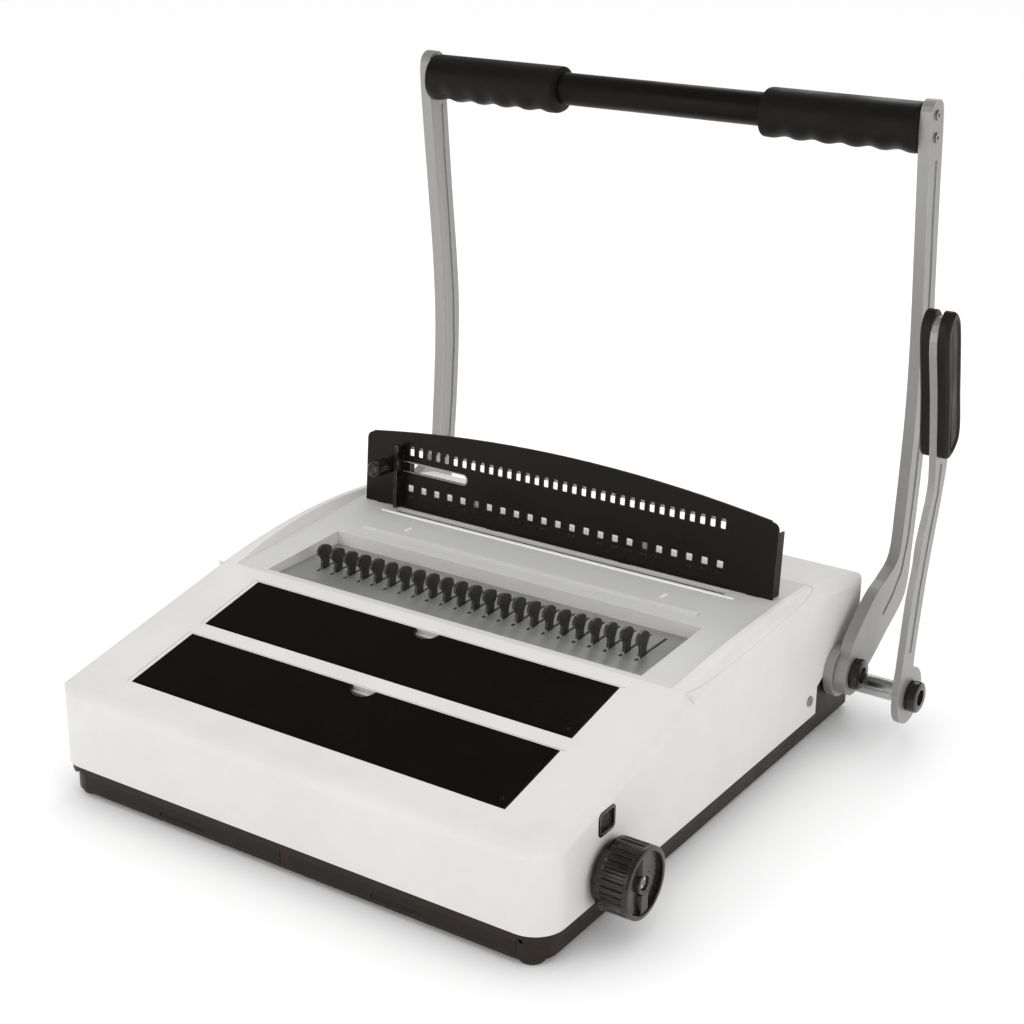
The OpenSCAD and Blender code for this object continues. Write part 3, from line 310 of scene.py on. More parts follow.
def deck_painted_shade(tree, place, shade):
    """Painted shade: the recessed deck behind the lids is coloured greyer than the rest of the cover, where
    it takes less light.
    """
    deck_front = low("comb_plate").y - DECK_EDGE
    parts = add_node(tree, "SeparateXYZ")
    tree.links.new(place, parts.inputs[0])
    plate_line = low("back_plate")
    ledge = math_node(tree, "SUBTRACT", parts.outputs["Y"], plate_line.y)
    plane = math_node(tree, "ADD", math_node(tree, "MULTIPLY", ledge, DECK_RISE), plate_line.z + DECK_LIFT)
    depth = math_node(tree, "ABSOLUTE", math_node(tree, "SUBTRACT", parts.outputs["Z"], plane))
    flat = math_node(tree, "LESS_THAN", depth, DECK_BAND)
    behind = math_node(tree, "GREATER_THAN", parts.outputs["Y"], deck_front)
    shaded_deck = math_node(tree, "MULTIPLY", flat, behind)
    return mix_colour(tree, shaded_deck, shade, DECK_SHADE_COLOUR)


ALONG_X = (0.02, 1, 1)
ALONG_Y = (1, 0.02, 1)
ALONG_Z = (1, 1, 0.02)

# The cover's recessed deck is darkened with painted shade.
COVER = finish("cover_plastic", (0.655, 0.645, 0.63), 0.45, grain=2600, grain_height=0.000012, tone=0.03,
               wear_and_highlight=0.2, wear_and_highlight_colour=(0.76, 0.75, 0.735), dust=0.04, specular=0.35, extra_colour=deck_painted_shade)
WELL = finish("well_plastic", (0.66, 0.655, 0.64), 0.4, tone=0.03, wear_and_highlight=0.2, wear_and_highlight_colour=(0.76, 0.75, 0.73),
              specular=0.35)
# Painted highlight: the lip is coloured paler than the cover to show the bright line along the slit's ridge.
LIP_HIGHLIGHT = finish("lip_painted_highlight", (0.84, 0.835, 0.82), 0.4, grain=2600, grain_height=0.000008, tone=0.02, wear_and_highlight=0.1,
             dust=0.04)
BASE = finish("base_plastic", (0.020, 0.0125, 0.0078), 0.44, grain=1500, grain_height=0.00005, tone=0.15,
              wear_and_highlight=0.35, wear_and_highlight_colour=(0.075, 0.058, 0.042), dust=0.06, specular=0.22)
TRAY = finish("tray_plastic", (0.013, 0.0098, 0.0078), 0.4, grain=1500, grain_height=0.00004, tone=0.15,
              wear_and_highlight=0.3, wear_and_highlight_colour=(0.06, 0.05, 0.04), dust=0.06, specular=0.2)
# The lids' thin bright edge line is painted highlight, laid on through the edge mask over a little real wear.
LID = finish("lid_gloss", (0.0028, 0.0019, 0.0015), 0.22, grain=900, grain_height=0.000004, wave=0.6,
             tone=0.15, wear_and_highlight=0.9, wear_and_highlight_colour=(0.12, 0.11, 0.1), wear_and_highlight_radius=0.0005, dust=0.006,
             specular=0.07)
GRIP = finish("grip_rubber", (0.0062, 0.0048, 0.0041), 0.5, grain=2200, grain_height=0.00005, tone=0.2,
              wear_and_highlight=0.3, wear_and_highlight_colour=(0.035, 0.03, 0.026), dust=0.03, specular=0.18)
LEVER_GRIP = finish("lever_grip", (0.0135, 0.0094, 0.0066), 0.42, grain=2200, grain_height=0.00003, tone=0.18,
                    wear_and_highlight=0.5, wear_and_highlight_colour=(0.1, 0.085, 0.07), dust=0.02, specular=0.2)
KNOB = finish("knob_gloss", (0.0095, 0.0072, 0.0056), 0.2, coat=0.1, grain=1400, grain_height=0.000008,
              tone=0.15, wear_and_highlight=0.6, wear_and_highlight_colour=(0.11, 0.095, 0.08), dust=0.03, specular=0.42)
RUBBER = finish("foot_rubber", (0.014, 0.0135, 0.013), 0.7, grain=1600, grain_height=0.00008, tone=0.2)
# The back plate's bright rims are painted highlight, laid on through the edge mask over real wear.
PLATE = finish("plate_paint", (0.0082, 0.0058, 0.0039), 0.34, grain=2000, grain_height=0.00003,
               tone=0.14, wear_and_highlight=0.9, wear_and_highlight_colour=(0.14, 0.12, 0.1), wear_and_highlight_radius=0.0004, dust=0.01,
               specular=0.17)
ARM = finish("arm_aluminium", (0.36, 0.355, 0.345), 0.42, metal=0.6, grain=2200, grain_height=0.00001,
             tone=0.05, wear_and_highlight=0.7, wear_and_highlight_colour=(0.72, 0.71, 0.7), lines=ALONG_Z, line_depth=0.08)
SHAFT = finish("ground_steel", (0.6, 0.6, 0.6), 0.22, metal=1.0, grain=1200, grain_height=0.000004,
               tone=0.05, wear_and_highlight=0.2, lines=ALONG_X, line_depth=0.08)
CROSSBAR = finish("bar_paint", (0.0058, 0.0042, 0.0031), 0.4, grain=2000, grain_height=0.00002,
                  tone=0.15, wear_and_highlight=0.3, wear_and_highlight_colour=(0.06, 0.05, 0.045), dust=0.012, specular=0.12)
SHEET = finish("comb_plate_steel", (0.37, 0.37, 0.36), 0.4, metal=0.55, grain=1600, grain_height=0.000012,
               tone=0.12, wear_and_highlight=0.6, wear_and_highlight_colour=(0.5, 0.5, 0.49), lines=ALONG_X, line_depth=0.12)
STEEL = finish("plain_steel", (0.4, 0.4, 0.41), 0.38, metal=0.9, grain=1500, grain_height=0.00002,
               tone=0.1, wear_and_highlight=0.4, wear_and_highlight_colour=(0.65, 0.65, 0.65), lines=ALONG_Y, line_depth=0.12)
FINGER = finish("finger_steel", (0.115, 0.112, 0.106), 0.24, metal=0.9, grain=1500, grain_height=0.00001,
                tone=0.25, wear_and_highlight=1.0, wear_and_highlight_colour=(0.6, 0.59, 0.56), wear_and_highlight_radius=0.0004, lines=ALONG_Z,
                line_depth=0.15)
BRASS = finish("gear_brass", (0.52, 0.4, 0.2), 0.34, metal=1.0, grain=1500, grain_height=0.000015, tone=0.12,
               wear_and_highlight=0.5, wear_and_highlight_colour=(0.75, 0.62, 0.38), lines=ALONG_X, line_depth=0.12)
SCREW = finish("screw_steel", (0.3, 0.3, 0.3), 0.3, metal=1.0, grain=1800, grain_height=0.00001, tone=0.12,
               wear_and_highlight=0.6, wear_and_highlight_colour=(0.65, 0.65, 0.65))
GUIDE = finish("guide_steel", (0.014, 0.011, 0.009), 0.3, metal=0.3, grain=1800, grain_height=0.00002,
               tone=0.15, wear_and_highlight=1.0, wear_and_highlight_colour=(0.5, 0.47, 0.44), wear_and_highlight_radius=0.0004, specular=0.3)
# White of the printed dial numbers, and painted highlight on the raised deck marks.
PRINT_AND_HIGHLIGHT = finish("white_print_and_highlight", (0.8, 0.79, 0.76), 0.5, grain=2000, grain_height=0.00001, tone=0.04, wear_and_highlight=0.1)

FINISH_OF_NODE = {
    "housing_cover": COVER, "front_well": WELL, "rear_well": WELL, "base_tray": BASE,
    "chip_tray_left": TRAY, "chip_tray_right": TRAY, "front_lid": LID, "rear_lid": LID,
    "rubber_feet": RUBBER, "back_plate": PLATE, "handle_arm_left": ARM, "handle_arm_right": ARM,
    "comb_lever_arm": ARM, "handle_bushes": ARM, "crossbar": CROSSBAR, "comb_shaft": SHAFT,
    "main_shaft": SHAFT, "carriage_rods": SHAFT, "ram_guide_rods": SHAFT, "punch_pins": SHAFT,
    "lid_pins": SHAFT,
    "knob_screw": SHAFT, "knob_shaft": SHAFT, "comb_plate": SHEET, "comb_fingers": FINGER,
    "comb_gears": BRASS, "idler_gears": BRASS, "cover_screws": SCREW, "arm_screws": SCREW,
    "edge_guide": GUIDE, "depth_dial": KNOB,
}


GLASS_COVER = 0.35        # share of what lies behind the window that it hides


def glass_finish():
    """Smoked clear window, with faint haze."""
    material = finish("window_glass", (0.02, 0.02, 0.021), 0.08, grain=900, grain_height=0.000003, tone=0.2,
                      wear_and_highlight=0.3, dust=0.02, specular=0.3)
    shader = material.node_tree.nodes["Principled BSDF"]
    shader.inputs["Alpha"].default_value = GLASS_COVER
    return material


# ---- Mesh helpers ----

SHARP_ANGLE = math.radians(38)


def add_piece(name, mesh_data, body, material, stands_for=()):
    """Makes the object, gives it its finish, and lets it ride on its body."""
    mesh = bpy.data.meshes.new(name)
    mesh_data.normal_update()
    mesh_data.to_mesh(mesh)
    mesh_data.free()
    piece = bpy.data.objects.new(name, mesh)
    bpy.context.scene.collection.objects.link(piece)
    mesh.materials.append(material)
    for face in mesh.polygons:
        face.use_smooth = True
    mesh.set_sharp_from_angle(angle=SHARP_ANGLE)
    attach(piece, body)
    if stands_for:
        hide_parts(*stands_for)
    return piece


def loft(rings, closed_ends=True, into=None):
    """Joins rings of points, each as long as the next, into one skin."""
    bm = into or bmesh.new()
    made = [[bm.verts.new(point) for point in ring] for ring in rings]
    count = len(rings[0])
    for first, second in zip(made, made[1:]):
        for k in range(count):
            n = (k + 1) % count
            bm.faces.new((first[k], first[n], second[n], second[k]))
    if closed_ends:
        bm.faces.new(list(reversed(made[0])))
        bm.faces.new(made[-1])
    return bm


def basis(axis):
    """Two directions square to the axis."""
    axis = axis.normalized()
    side = axis.cross(UP if abs(axis.z) < 0.9 else RIGHT).normalized()
    return side, axis.cross(side).normalized()


def lathe(profile, centre, axis, steps=64, into=None, shape=None):
    """Turns (along, radius) pairs about an axis. shape(angle, along) may scale the radius."""
    side, other = basis(axis)
    axis = axis.normalized()
    rings = []
    for along, radius in profile:
        ring = []
        for k in range(steps):
            angle = 2 * math.pi * k / steps
            reach = radius * (shape(angle, along) if shape else 1.0)
            ring.append(centre + axis * along + (side * math.cos(angle) + other * math.sin(angle)) * reach)
        rings.append(ring)
    return loft(rings, into=into)


def recalculated(bm):
    bmesh.ops.recalc_face_normals(bm, faces=bm.faces)
    return bm


def rounded_rect(width, height, radius, steps=5):
    """Points round a rectangle with rounded corners, in its own plane."""
    points = []
    for cx, cy, start in ((1, 1, 0), (-1, 1, 90), (-1, -1, 180), (1, -1, 270)):
        for k in range(steps + 1):
            angle = math.radians(start + 90 * k / steps)
            points.append((cx * (width / 2 - radius) + radius * math.cos(angle),
                           cy * (height / 2 - radius) + radius * math.sin(angle)))
    return points


# ---- Press handle: grips and caps ----

GRIP_RADIUS = 17.0        # in millimetres, like the four values that follow
GRIP_FRONT = 3.4          # how much fuller the grip is in front
GRIP_BELLY = 4.0          # how much fuller it is underneath, at its two ends
HOLLOW_BELLY = 1.0        # the same, in a finger hollow
FINGER_DEPTH = 3.2        # height of the ridges between the hollows
GRIP_END_ROUND = 2.5 * MM
FINGERS = 5
FINGER_START = 0.06       # from the inner end, as a share of the length
FINGER_SPAN = 0.9
SECTION_STEPS = 40
GRIP_STATIONS = 90


def grip_section(belly):
    """One cross-section of a grip, in (y, z) about the crossbar: round above, full in front."""
    points = []
    for k in range(SECTION_STEPS):
        angle = 2 * math.pi * k / SECTION_STEPS
        y = math.cos(angle)
        z = math.sin(angle)
        front = max(0.0, -y)
        under = max(0.0, -z)
        reach = GRIP_RADIUS + GRIP_FRONT * front ** 1.5 + belly * under * (0.4 + 0.6 * front)
        points.append((y * reach * MM, z * reach * MM))
    return points


def make_grip(node, body):
    """Moulded rubber grip with a collar at the inner end and five hollows for the fingers."""
    start, end = low(node), high(node)
    bar = middle("crossbar")
    inner_is_low = abs(start.x) < abs(end.x)
    length = end.x - start.x
    rings = []
    for k in range(GRIP_STATIONS + 1):
        t = k / GRIP_STATIONS
        from_inner = t if inner_is_low else 1 - t
        share = max(0.0, min(1.0, (from_inner - FINGER_START) / FINGER_SPAN))
        ridge = 0.5 + 0.5 * math.cos(2 * math.pi * FINGERS * share)
        tip = min(t, 1 - t) * length
        ends = math.sqrt(max(0.0, 1 - (1 - min(1.0, tip / GRIP_END_ROUND)) ** 2))
        size = 0.86 + 0.14 * ends
        between_collars = 0.05 < from_inner < 0.97
        section = grip_section(HOLLOW_BELLY + FINGER_DEPTH * ridge if between_collars else GRIP_BELLY)
        x = start.x + t * length
        rings.append([Vector((x, bar.y + y * size, bar.z + z * size)) for y, z in section])
    bm = recalculated(loft(rings))
    return add_piece(node + "_moulded", bm, body, GRIP, (node,))


def cap_profile(radius, depth):
    """Turned cap with a groove round it and a hollow face, as (along, radius) pairs."""
    return [(0, radius * 0.9), (0, radius), (depth * 0.12, radius), (depth * 0.14, radius * 0.94),
            (depth * 0.3, radius * 0.94), (depth * 0.34, radius), (depth * 0.78, radius),
            (depth * 0.92, radius * 0.96), (depth, radius * 0.86), (depth, radius * 0.52),
            (depth * 0.72, radius * 0.48), (depth * 0.7, radius * 0.1)]


def make_caps():
    """Caps on both ends of the main shaft, and on the comb lever's pivot."""
    left, right = low("pivot_caps"), high("pivot_caps")
    pivot = joint_place("handle_swing")
    depth = right.x - high("handle_arm_right").x
    radius = (right.z - left.z) / 2
    bm = lathe(cap_profile(radius, depth), Vector((right.x - depth, pivot.y, pivot.z)), RIGHT)
    lathe(cap_profile(radius, depth), Vector((left.x + depth, pivot.y, pivot.z)), -RIGHT, into=bm)
    add_piece("pivot_caps_turned", recalculated(bm), "press_handle", KNOB, ("pivot_caps",))
    start, end = low("lever_cap"), high("lever_cap")
    hub = joint_place("lever_swing")
    profile = cap_profile((end.z - start.z) / 2, end.x - start.x)
    bm = lathe(profile, Vector((start.x, hub.y, hub.z)), RIGHT)
    add_piece("lever_cap_turned", recalculated(bm), "comb_lever", KNOB, ("lever_cap",))


# ---- Comb lever grips ----

def side_outline(node):
    """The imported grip's outline in (y, z), walked round once."""
    places = [(round(vertex.co.y, 6), round(vertex.co.z, 6)) for vertex in nodes[node].data.vertices]
    flat = [Vector(place) for place in dict.fromkeys(places)]
    by_height = sorted(flat, key=lambda point: point.y)
    foot, top = by_height[0], by_height[-1]
    axis = (top - foot).normalized()
    across = Vector((-axis.y, axis.x))
    one_side = [point for point in flat if (point - foot).dot(across) >= 0]
    other_side = [point for point in flat if (point - foot).dot(across) < 0]
    one_side.sort(key=lambda point: (point - foot).dot(axis))
    other_side.sort(key=lambda point: -(point - foot).dot(axis))
    return one_side + other_side


def evenly_spaced(points, count):
    """As many points as asked for, at equal steps along the closed outline."""
    closed = points + [points[0]]
    spans = [(second - first).length for first, second in zip(closed, closed[1:])]
    total = sum(spans)
    spaced = []
    index, passed = 0, 0.0
    for k in range(count):
        wanted = total * k / count
        while passed + spans[index] < wanted:
            passed += spans[index]
            index += 1
        share = (wanted - passed) / spans[index] if spans[index] else 0.0
        spaced.append(closed[index].lerp(closed[index + 1], share))
    return spaced


def drawn_in(points, inset):
    """The outline moved inwards by the inset, along its own normals."""
    count = len(points)
    heart = sum(points, Vector((0, 0))) / count
    moved = []
    for k, point in enumerate(points):
        along = points[(k + 2) % count] - points[k - 2]
        normal = Vector((-along.y, along.x)).normalized()
        if normal.dot(heart - point) < 0:
            normal = -normal
        moved.append(point + normal * inset)
    return moved


LEVER_GRIP_ROUND = 3.2 * MM
LEVER_GRIP_POINTS = 120
SEAT_EDGE = ((0.0, 0.5), (0.3, 0.12), (0.9, 0.0))     # (height over the seat, inset), in millimetres
FACE_GROOVE = ((0.0, 4.4), (0.25, 5.0), (0.9, 5.6), (1.0, 6.4), (0.7, 7.4))   # (depth, inset), likewise


def make_lever_grip(node, outward):
    """Half of the moulded lever grip: rounded edges, and a shallow groove along its outer face."""
    start, end = low(node), high(node)
    outline = evenly_spaced(side_outline(node), LEVER_GRIP_POINTS)
    seat = start.x if outward > 0 else end.x
    face = seat + outward * (end.x - start.x)
    rings = [(seat + outward * along * MM, inset * MM) for along, inset in SEAT_EDGE]
    for k in range(9):
        angle = math.pi / 2 * k / 8
        rings.append((face - outward * LEVER_GRIP_ROUND * (1 - math.sin(angle)),
                      LEVER_GRIP_ROUND * (1 - math.cos(angle))))
    rings += [(face - outward * sunk * MM, inset * MM) for sunk, inset in FACE_GROOVE]
    skin = [[Vector((x, point.x, point.y)) for point in drawn_in(outline, inset)] for x, inset in rings]
    bm = recalculated(loft(skin))
    add_piece(node + "_moulded", bm, "comb_lever", LEVER_GRIP, (node,))


# ---- Depth knob ----

KNOB_RIBS = 30
KNOB_RIB_DEPTH = 0.055    # as a share of the radius
KNOB_STEPS = 360
RIB_STATIONS = 15


def smooth_step(value):
    """0 up to 0, 1 from 1 on, and a smooth rise between."""
    value = max(0.0, min(1.0, value))
    return value * value * (3 - 2 * value)


def make_depth_knob():
    """Ribbed barrel with a plain rim; its hollow face has a raised bar across the hub."""
    start, end = low("depth_knob"), high("depth_knob")
    axis = joint_place("knob_turn")
    centre = Vector((start.x, axis.y, axis.z))
    radius = (end.z - start.z) / 2
    depth = end.x - start.x
    rib_start = 6.5 * MM
    rib_end = depth - 3.2 * MM

    def ribbed(angle, along):
        if along < rib_start or along > rib_end:
            return 1.0
        inside = smooth_step((along - rib_start) / (1.2 * MM)) * smooth_step((rib_end - along) / (0.6 * MM))
        groove = smooth_step(0.5 + 1.4 * math.cos(KNOB_RIBS * angle))
        return 1 - KNOB_RIB_DEPTH * inside * groove

    profile = [(0, radius - 5 * MM), (0, radius - 3.2 * MM), (3.2 * MM, radius - 3 * MM),
               (3.6 * MM, radius - 0.7 * MM), (4.1 * MM, radius), (rib_start, radius)]
    for k in range(1, RIB_STATIONS):
        profile.append((rib_start + (rib_end - rib_start) * k / RIB_STATIONS, radius))
    profile += [(rib_end, radius), (depth - 1.1 * MM, radius), (depth - 0.3 * MM, radius - 0.35 * MM),
                (depth, radius - 1.1 * MM), (depth, radius - 2.8 * MM), (depth - 0.4 * MM, radius - 3.3 * MM),
                (depth - 3.4 * MM, radius - 3.6 * MM), (depth - 3.6 * MM, radius - 4.2 * MM),
                (depth - 3.6 * MM, 8.2 * MM), (depth - 1.4 * MM, 7.6 * MM), (depth - 1.0 * MM, 7.2 * MM),
                (depth - 1.0 * MM, 5.2 * MM), (depth - 1.4 * MM, 4.7 * MM), (depth - 6 * MM, 4.5 * MM),
                (depth - 6 * MM, 0.2 * MM)]
    bm = lathe(profile, centre, RIGHT, steps=KNOB_STEPS, shape=ribbed)
    for side in (-1, 1):
        add_knob_bar(bm, centre + RIGHT * depth, side, radius)
    add_piece("depth_knob_moulded", recalculated(bm), "depth_knob", KNOB, ("depth_knob",))


def add_knob_bar(bm, face_centre, side, radius):
    """Half of the raised bar, from the hub out to the rim, with sloping flanks."""
    inner, outer = 7.3 * MM, radius - 3.4 * MM
    top, bottom = -0.9 * MM, -3.7 * MM
    wide, narrow = 5.2 * MM, 3.9 * MM
    rings = []
    for k in range(9):
        reach = (inner + (outer - inner) * k / 8) * side
        ring = [(bottom, -wide), (top - 0.5 * MM, -narrow - 0.3 * MM), (top, -narrow), (top, narrow),
                (top - 0.5 * MM, narrow + 0.3 * MM), (bottom, wide)]
        rings.append([face_centre + Vector((x, y, reach)) for x, y in ring])
    loft(rings, into=bm)


# ---- Back plate and edge guide ----

HOLE_COUNT = 23
HOLE_PITCH = 12.7 * MM
LOWER_ROW = 17.6 * MM     # height of the lower row on the plate
CLAMP_HEIGHT = 35 * MM    # height of the edge guide's clamp on the plate
SLOT_WIDTH = 7 * MM
SLOT_START = 8 * MM       # the slot starts this far to the left of the clamp
SLOT_MARGIN = 2.4 * MM    # and runs on past the clear opening by this much
CENTRE_SHIFT = middle("housing_cover").x


def plate_frame():
    """Directions of the leaning back plate: out of its face, and up along it."""
    outward = Vector(joints["guide_clamp"]["axis"]).normalized()
    return outward, RIGHT.cross(-outward).normalized()


KNURLS = 24
KNURL_DEPTH = 0.035       # as a share of the radius
KNURL_START = 3 * MM


def knurled(angle, along):
    groove = 0.5 + 0.5 * math.cos(KNURLS * angle)
    return 1 - KNURL_DEPTH * groove * smooth_step((along - KNURL_START) / (2 * MM))


def make_guide_knob():
    """Slim knurled knob on the edge guide's clamp, with the end of its stem behind it."""
    outward, _ = plate_frame()
    start = joint_place("guide_clamp") + outward * 0.3 * MM
    r = 6.3 * MM
    profile = [(-2.5 * MM, 0.3 * MM), (-2.5 * MM, 2.4 * MM), (0, 2.4 * MM), (0, r * 0.8),
               (0.4 * MM, r * 0.86), (2.6 * MM, r * 0.86), (KNURL_START, r)]
    profile += [(KNURL_START + k * 2 * MM, r) for k in range(1, 11)]
    profile += [(24 * MM, r), (26 * MM, r * 0.95), (26.9 * MM, r * 0.82), (27.1 * MM, r * 0.6),
                (26.7 * MM, r * 0.5), (26.6 * MM, r * 0.05)]
    bm = lathe(profile, start, outward, steps=144, shape=knurled)
    add_piece("guide_knob_turned", recalculated(bm), "guide_knob", KNOB, ("guide_knob",))


TAB_DROP = 6.6 * MM       # from the row's centre line down to the middle of the lips
TAB_WIDTH = 5 * MM
TAB_HALF_HEIGHT = 0.9 * MM
TAB_REACH = 1.0 * MM      # how far the middle of a lip stands out
TAB_EDGE = 0.12 * MM      # and its two ends


def make_plate_tabs():
    """Small lip under each hole of the lower row, pressed out of the plate."""
    outward, upward = plate_frame()
    anchor = joint_place("guide_clamp")
    section = [math.radians(degrees) for degrees in (-90, -45, 0, 45, 90, 180)]
    bm = bmesh.new()
    for i in range(HOLE_COUNT):
        x = (i - (HOLE_COUNT - 1) / 2) * HOLE_PITCH
        height = LOWER_ROW - TAB_DROP - CLAMP_HEIGHT
        base = Vector((x + CENTRE_SHIFT, anchor.y, anchor.z)) + upward * height
        rings = []
        for k in range(7):
            t = k / 6
            reach = TAB_EDGE + TAB_REACH * math.sin(math.pi * t)
            centre = base + RIGHT * (t - 0.5) * TAB_WIDTH
            rings.append([centre + outward * (reach * math.cos(a)) + upward * (TAB_HALF_HEIGHT * math.sin(a))
                          for a in section])
        loft(rings, into=bm)
    add_piece("plate_tabs", recalculated(bm), "root", PLATE)


def make_slot_rim():
    """Thin bright edging round the edge guide's slot."""
    outward, upward = plate_frame()
    anchor = joint_place("guide_clamp")
    openings = {box["name"]: box["box_m"] for box in frame["record"]["physics"]["openings"]}
    right_end = openings["guide_slot"][1][0] + SLOT_MARGIN
    left_end = anchor.x - SLOT_START
    centre = Vector(((left_end + right_end) / 2, anchor.y, anchor.z))
    rings = []
    for grow, out in ((0.0, 0.02), (0.1, 0.2), (0.8, 0.22), (1.1, 0.02)):
        ring = rounded_rect(right_end - left_end + grow * 2 * MM, SLOT_WIDTH + grow * 2 * MM,
                            SLOT_WIDTH / 2 - 0.05 * MM + grow * MM, steps=8)
        rings.append([centre + RIGHT * a + upward * b + outward * out * MM for a, b in ring])
    add_piece("slot_rim", recalculated(loft(rings, closed_ends=False)), "root", STEEL)


# ---- Cover details ----

def deck_height(y):
    """Height of the deck's surface at a depth y."""
    plate_line = low("back_plate")
    return plate_line.z + DECK_LIFT + (y - plate_line.y) * DECK_RISE


BAR_STATIONS = (0.0, 0.04, 0.12, 0.5, 0.88, 0.96, 1.0)
BAR_TIP = 0.12            # share of the length over which each end narrows
BAR_TIP_SIZE = 0.7
BAR_SUNK = 0.6 * MM


def add_bar(bm, start, end, width, height):
    """Low rounded bar lying on a surface, between two points."""
    along = end - start
    ahead = along.normalized()
    side = ahead.cross(UP).normalized()
    rings = []
    for t in BAR_STATIONS:
        rise = math.sin(math.pi * min(1.0, min(t, 1 - t) / BAR_TIP) / 2)
        size = BAR_TIP_SIZE + (1 - BAR_TIP_SIZE) * rise
        centre = start + along * t
        ring = []
        for k in range(9):
            angle = math.pi * k / 8
            across = side * (width / 2 * size * math.cos(angle))
            ring.append(centre + across + UP * (height * size * math.sin(angle)))
        ring.append(centre - UP * BAR_SUNK)
        rings.append(ring)
    loft(rings, into=bm)


MARK_PLACES = (-117 * MM, 113 * MM)      # to the left and right of the machine's middle
MARK_SKEW = 1 * MM
MARK_START = 24 * MM      # behind the comb plate
MARK_END = 32 * MM


def make_deck_marks():
    """Two short raised paper marks behind the comb pocket; their white colour is painted highlight along the
    raised ridges.
    """
    front, back = (high("comb_plate").y + reach for reach in (MARK_START, MARK_END))
    bm = bmesh.new()
    for place in MARK_PLACES:
        x = CENTRE_SHIFT + place
        first = Vector((x, front, deck_height(front)))
        second = Vector((x + MARK_SKEW, back, deck_height(back)))
        add_bar(bm, first, second, 2.6 * MM, 0.8 * MM)
    add_piece("deck_marks", recalculated(bm), "root", PRINT_AND_HIGHLIGHT)


LIP_SHORTER = 24 * MM     # than the die plate, at each end
LIP_FORWARD = 6.2 * MM    # of the die plate's back edge


def make_slit_lip():
    """Rounded lip along the front of the punching slit, which guides the sheets in; its pale colour is
    painted highlight along the ridge.
    """
    start, end = low("die_plate"), high("die_plate")
    half = (end.x - start.x) / 2 - LIP_SHORTER
    y = end.y - LIP_FORWARD
    first = Vector((CENTRE_SHIFT - half, y, deck_height(y)))
    second = Vector((CENTRE_SHIFT + half, y, deck_height(y)))
    bm = bmesh.new()
    add_bar(bm, first, second, 4.2 * MM, 0.9 * MM)
    add_piece("slit_lip", recalculated(bm), "root", LIP_HIGHLIGHT)


SLOPE = math.radians(11.7)
DOT_FROM_SIDE = 7 * MM
DOT_FROM_HINGE = 6 * MM
LID_HALF = 1.5 * MM       # from the hinge's axis to the lid's top face


def make_lid_dots():
    """A small moulded dot near the right front corner of each lid."""
    slope_up = Vector((0, math.cos(SLOPE), math.sin(SLOPE)))
    outward = Vector((0, -math.sin(SLOPE), math.cos(SLOPE)))
    profile = [(-0.4 * MM, 0.1 * MM), (-0.4 * MM, 1.3 * MM), (0.05 * MM, 1.3 * MM), (0.25 * MM, 1.05 * MM),
               (0.32 * MM, 0.6 * MM), (0.34 * MM, 0.05 * MM)]
    for node in ("front_lid", "rear_lid"):
        pin = joint_place(node + "_hinge")
        corner = Vector((high(node).x - DOT_FROM_SIDE, pin.y, pin.z))
        centre = corner + slope_up * DOT_FROM_HINGE + outward * LID_HALF
        bm = lathe(profile, centre, outward, steps=32)
        add_piece(node + "_dot", recalculated(bm), node, LID)


WINDOW_ROUND = 3 * MM
BEZEL_INNER = -1.5        # the corners stop tightening at this growth
# The bezel's rings, as (growth, height over the cover) in millimetres
BEZEL = ((-1.6, -1.0), (-1.5, 0.25), (-1.0, 0.55), (0.2, 0.6), (0.9, 0.35), (1.1, -0.1), (0.9, -0.6))


def make_window_frame():
    """Raised bezel round the depth window."""
    start, end = low("window_lens"), high("window_lens")
    centre = (start + end) / 2
    face = high("housing_cover").x
    rings = []
    for grow, out in BEZEL:
        width = (end.y - start.y) + grow * 2 * MM
        height = (end.z - start.z) + grow * 2 * MM
        ring = rounded_rect(width, height, WINDOW_ROUND + max(grow, BEZEL_INNER) * MM)
        rings.append([Vector((face + out * MM, centre.y + a, centre.z + b)) for a, b in ring])
    bm = recalculated(loft(rings, closed_ends=False))
    add_piece("window_frame", bm, "root", KNOB)


DIGITS = 5
DIGIT_STEP = 20           # degrees from one number to the next
DIGIT_SIZE = 10 * MM
DIGIT_RAISED = 0.15 * MM
DIGIT_RADIUS = 34 * MM


def make_dial_numbers():
    """Plain numbers 1 to 5 on the dial behind the window."""
    axis = joint_place("knob_turn")
    face = high("depth_dial").x
    upright = Matrix(((0, 0, 1), (1, 0, 0), (0, 1, 0))).to_4x4()
    bm = bmesh.new()
    for i in range(DIGITS):
        turn = math.radians((DIGITS // 2 - i) * DIGIT_STEP)
        curve = bpy.data.curves.new("digit", "FONT")
        curve.body = str(i + 1)
        curve.size = DIGIT_SIZE
        curve.align_x = "CENTER"
        curve.align_y = "CENTER"
        curve.extrude = DIGIT_RAISED
        letter = bpy.data.objects.new("digit", curve)
        bpy.context.scene.collection.objects.link(letter)
        bpy.context.view_layer.update()
        shape = letter.evaluated_get(bpy.context.evaluated_depsgraph_get()).to_mesh()
        place = (Matrix.Translation((face + 0.12 * MM, axis.y, axis.z)) @ Matrix.Rotation(turn, 4, "X")
                 @ Matrix.Translation((0, 0, DIGIT_RADIUS)) @ upright)
        shape.transform(place)
        bm.from_mesh(shape)
        letter.to_mesh_clear()
        bpy.data.objects.remove(letter)
        bpy.data.curves.remove(curve)
    add_piece("dial_numbers", bm, "depth_knob", PRINT_AND_HIGHLIGHT)


FOOT_RADIUS = 9 * MM


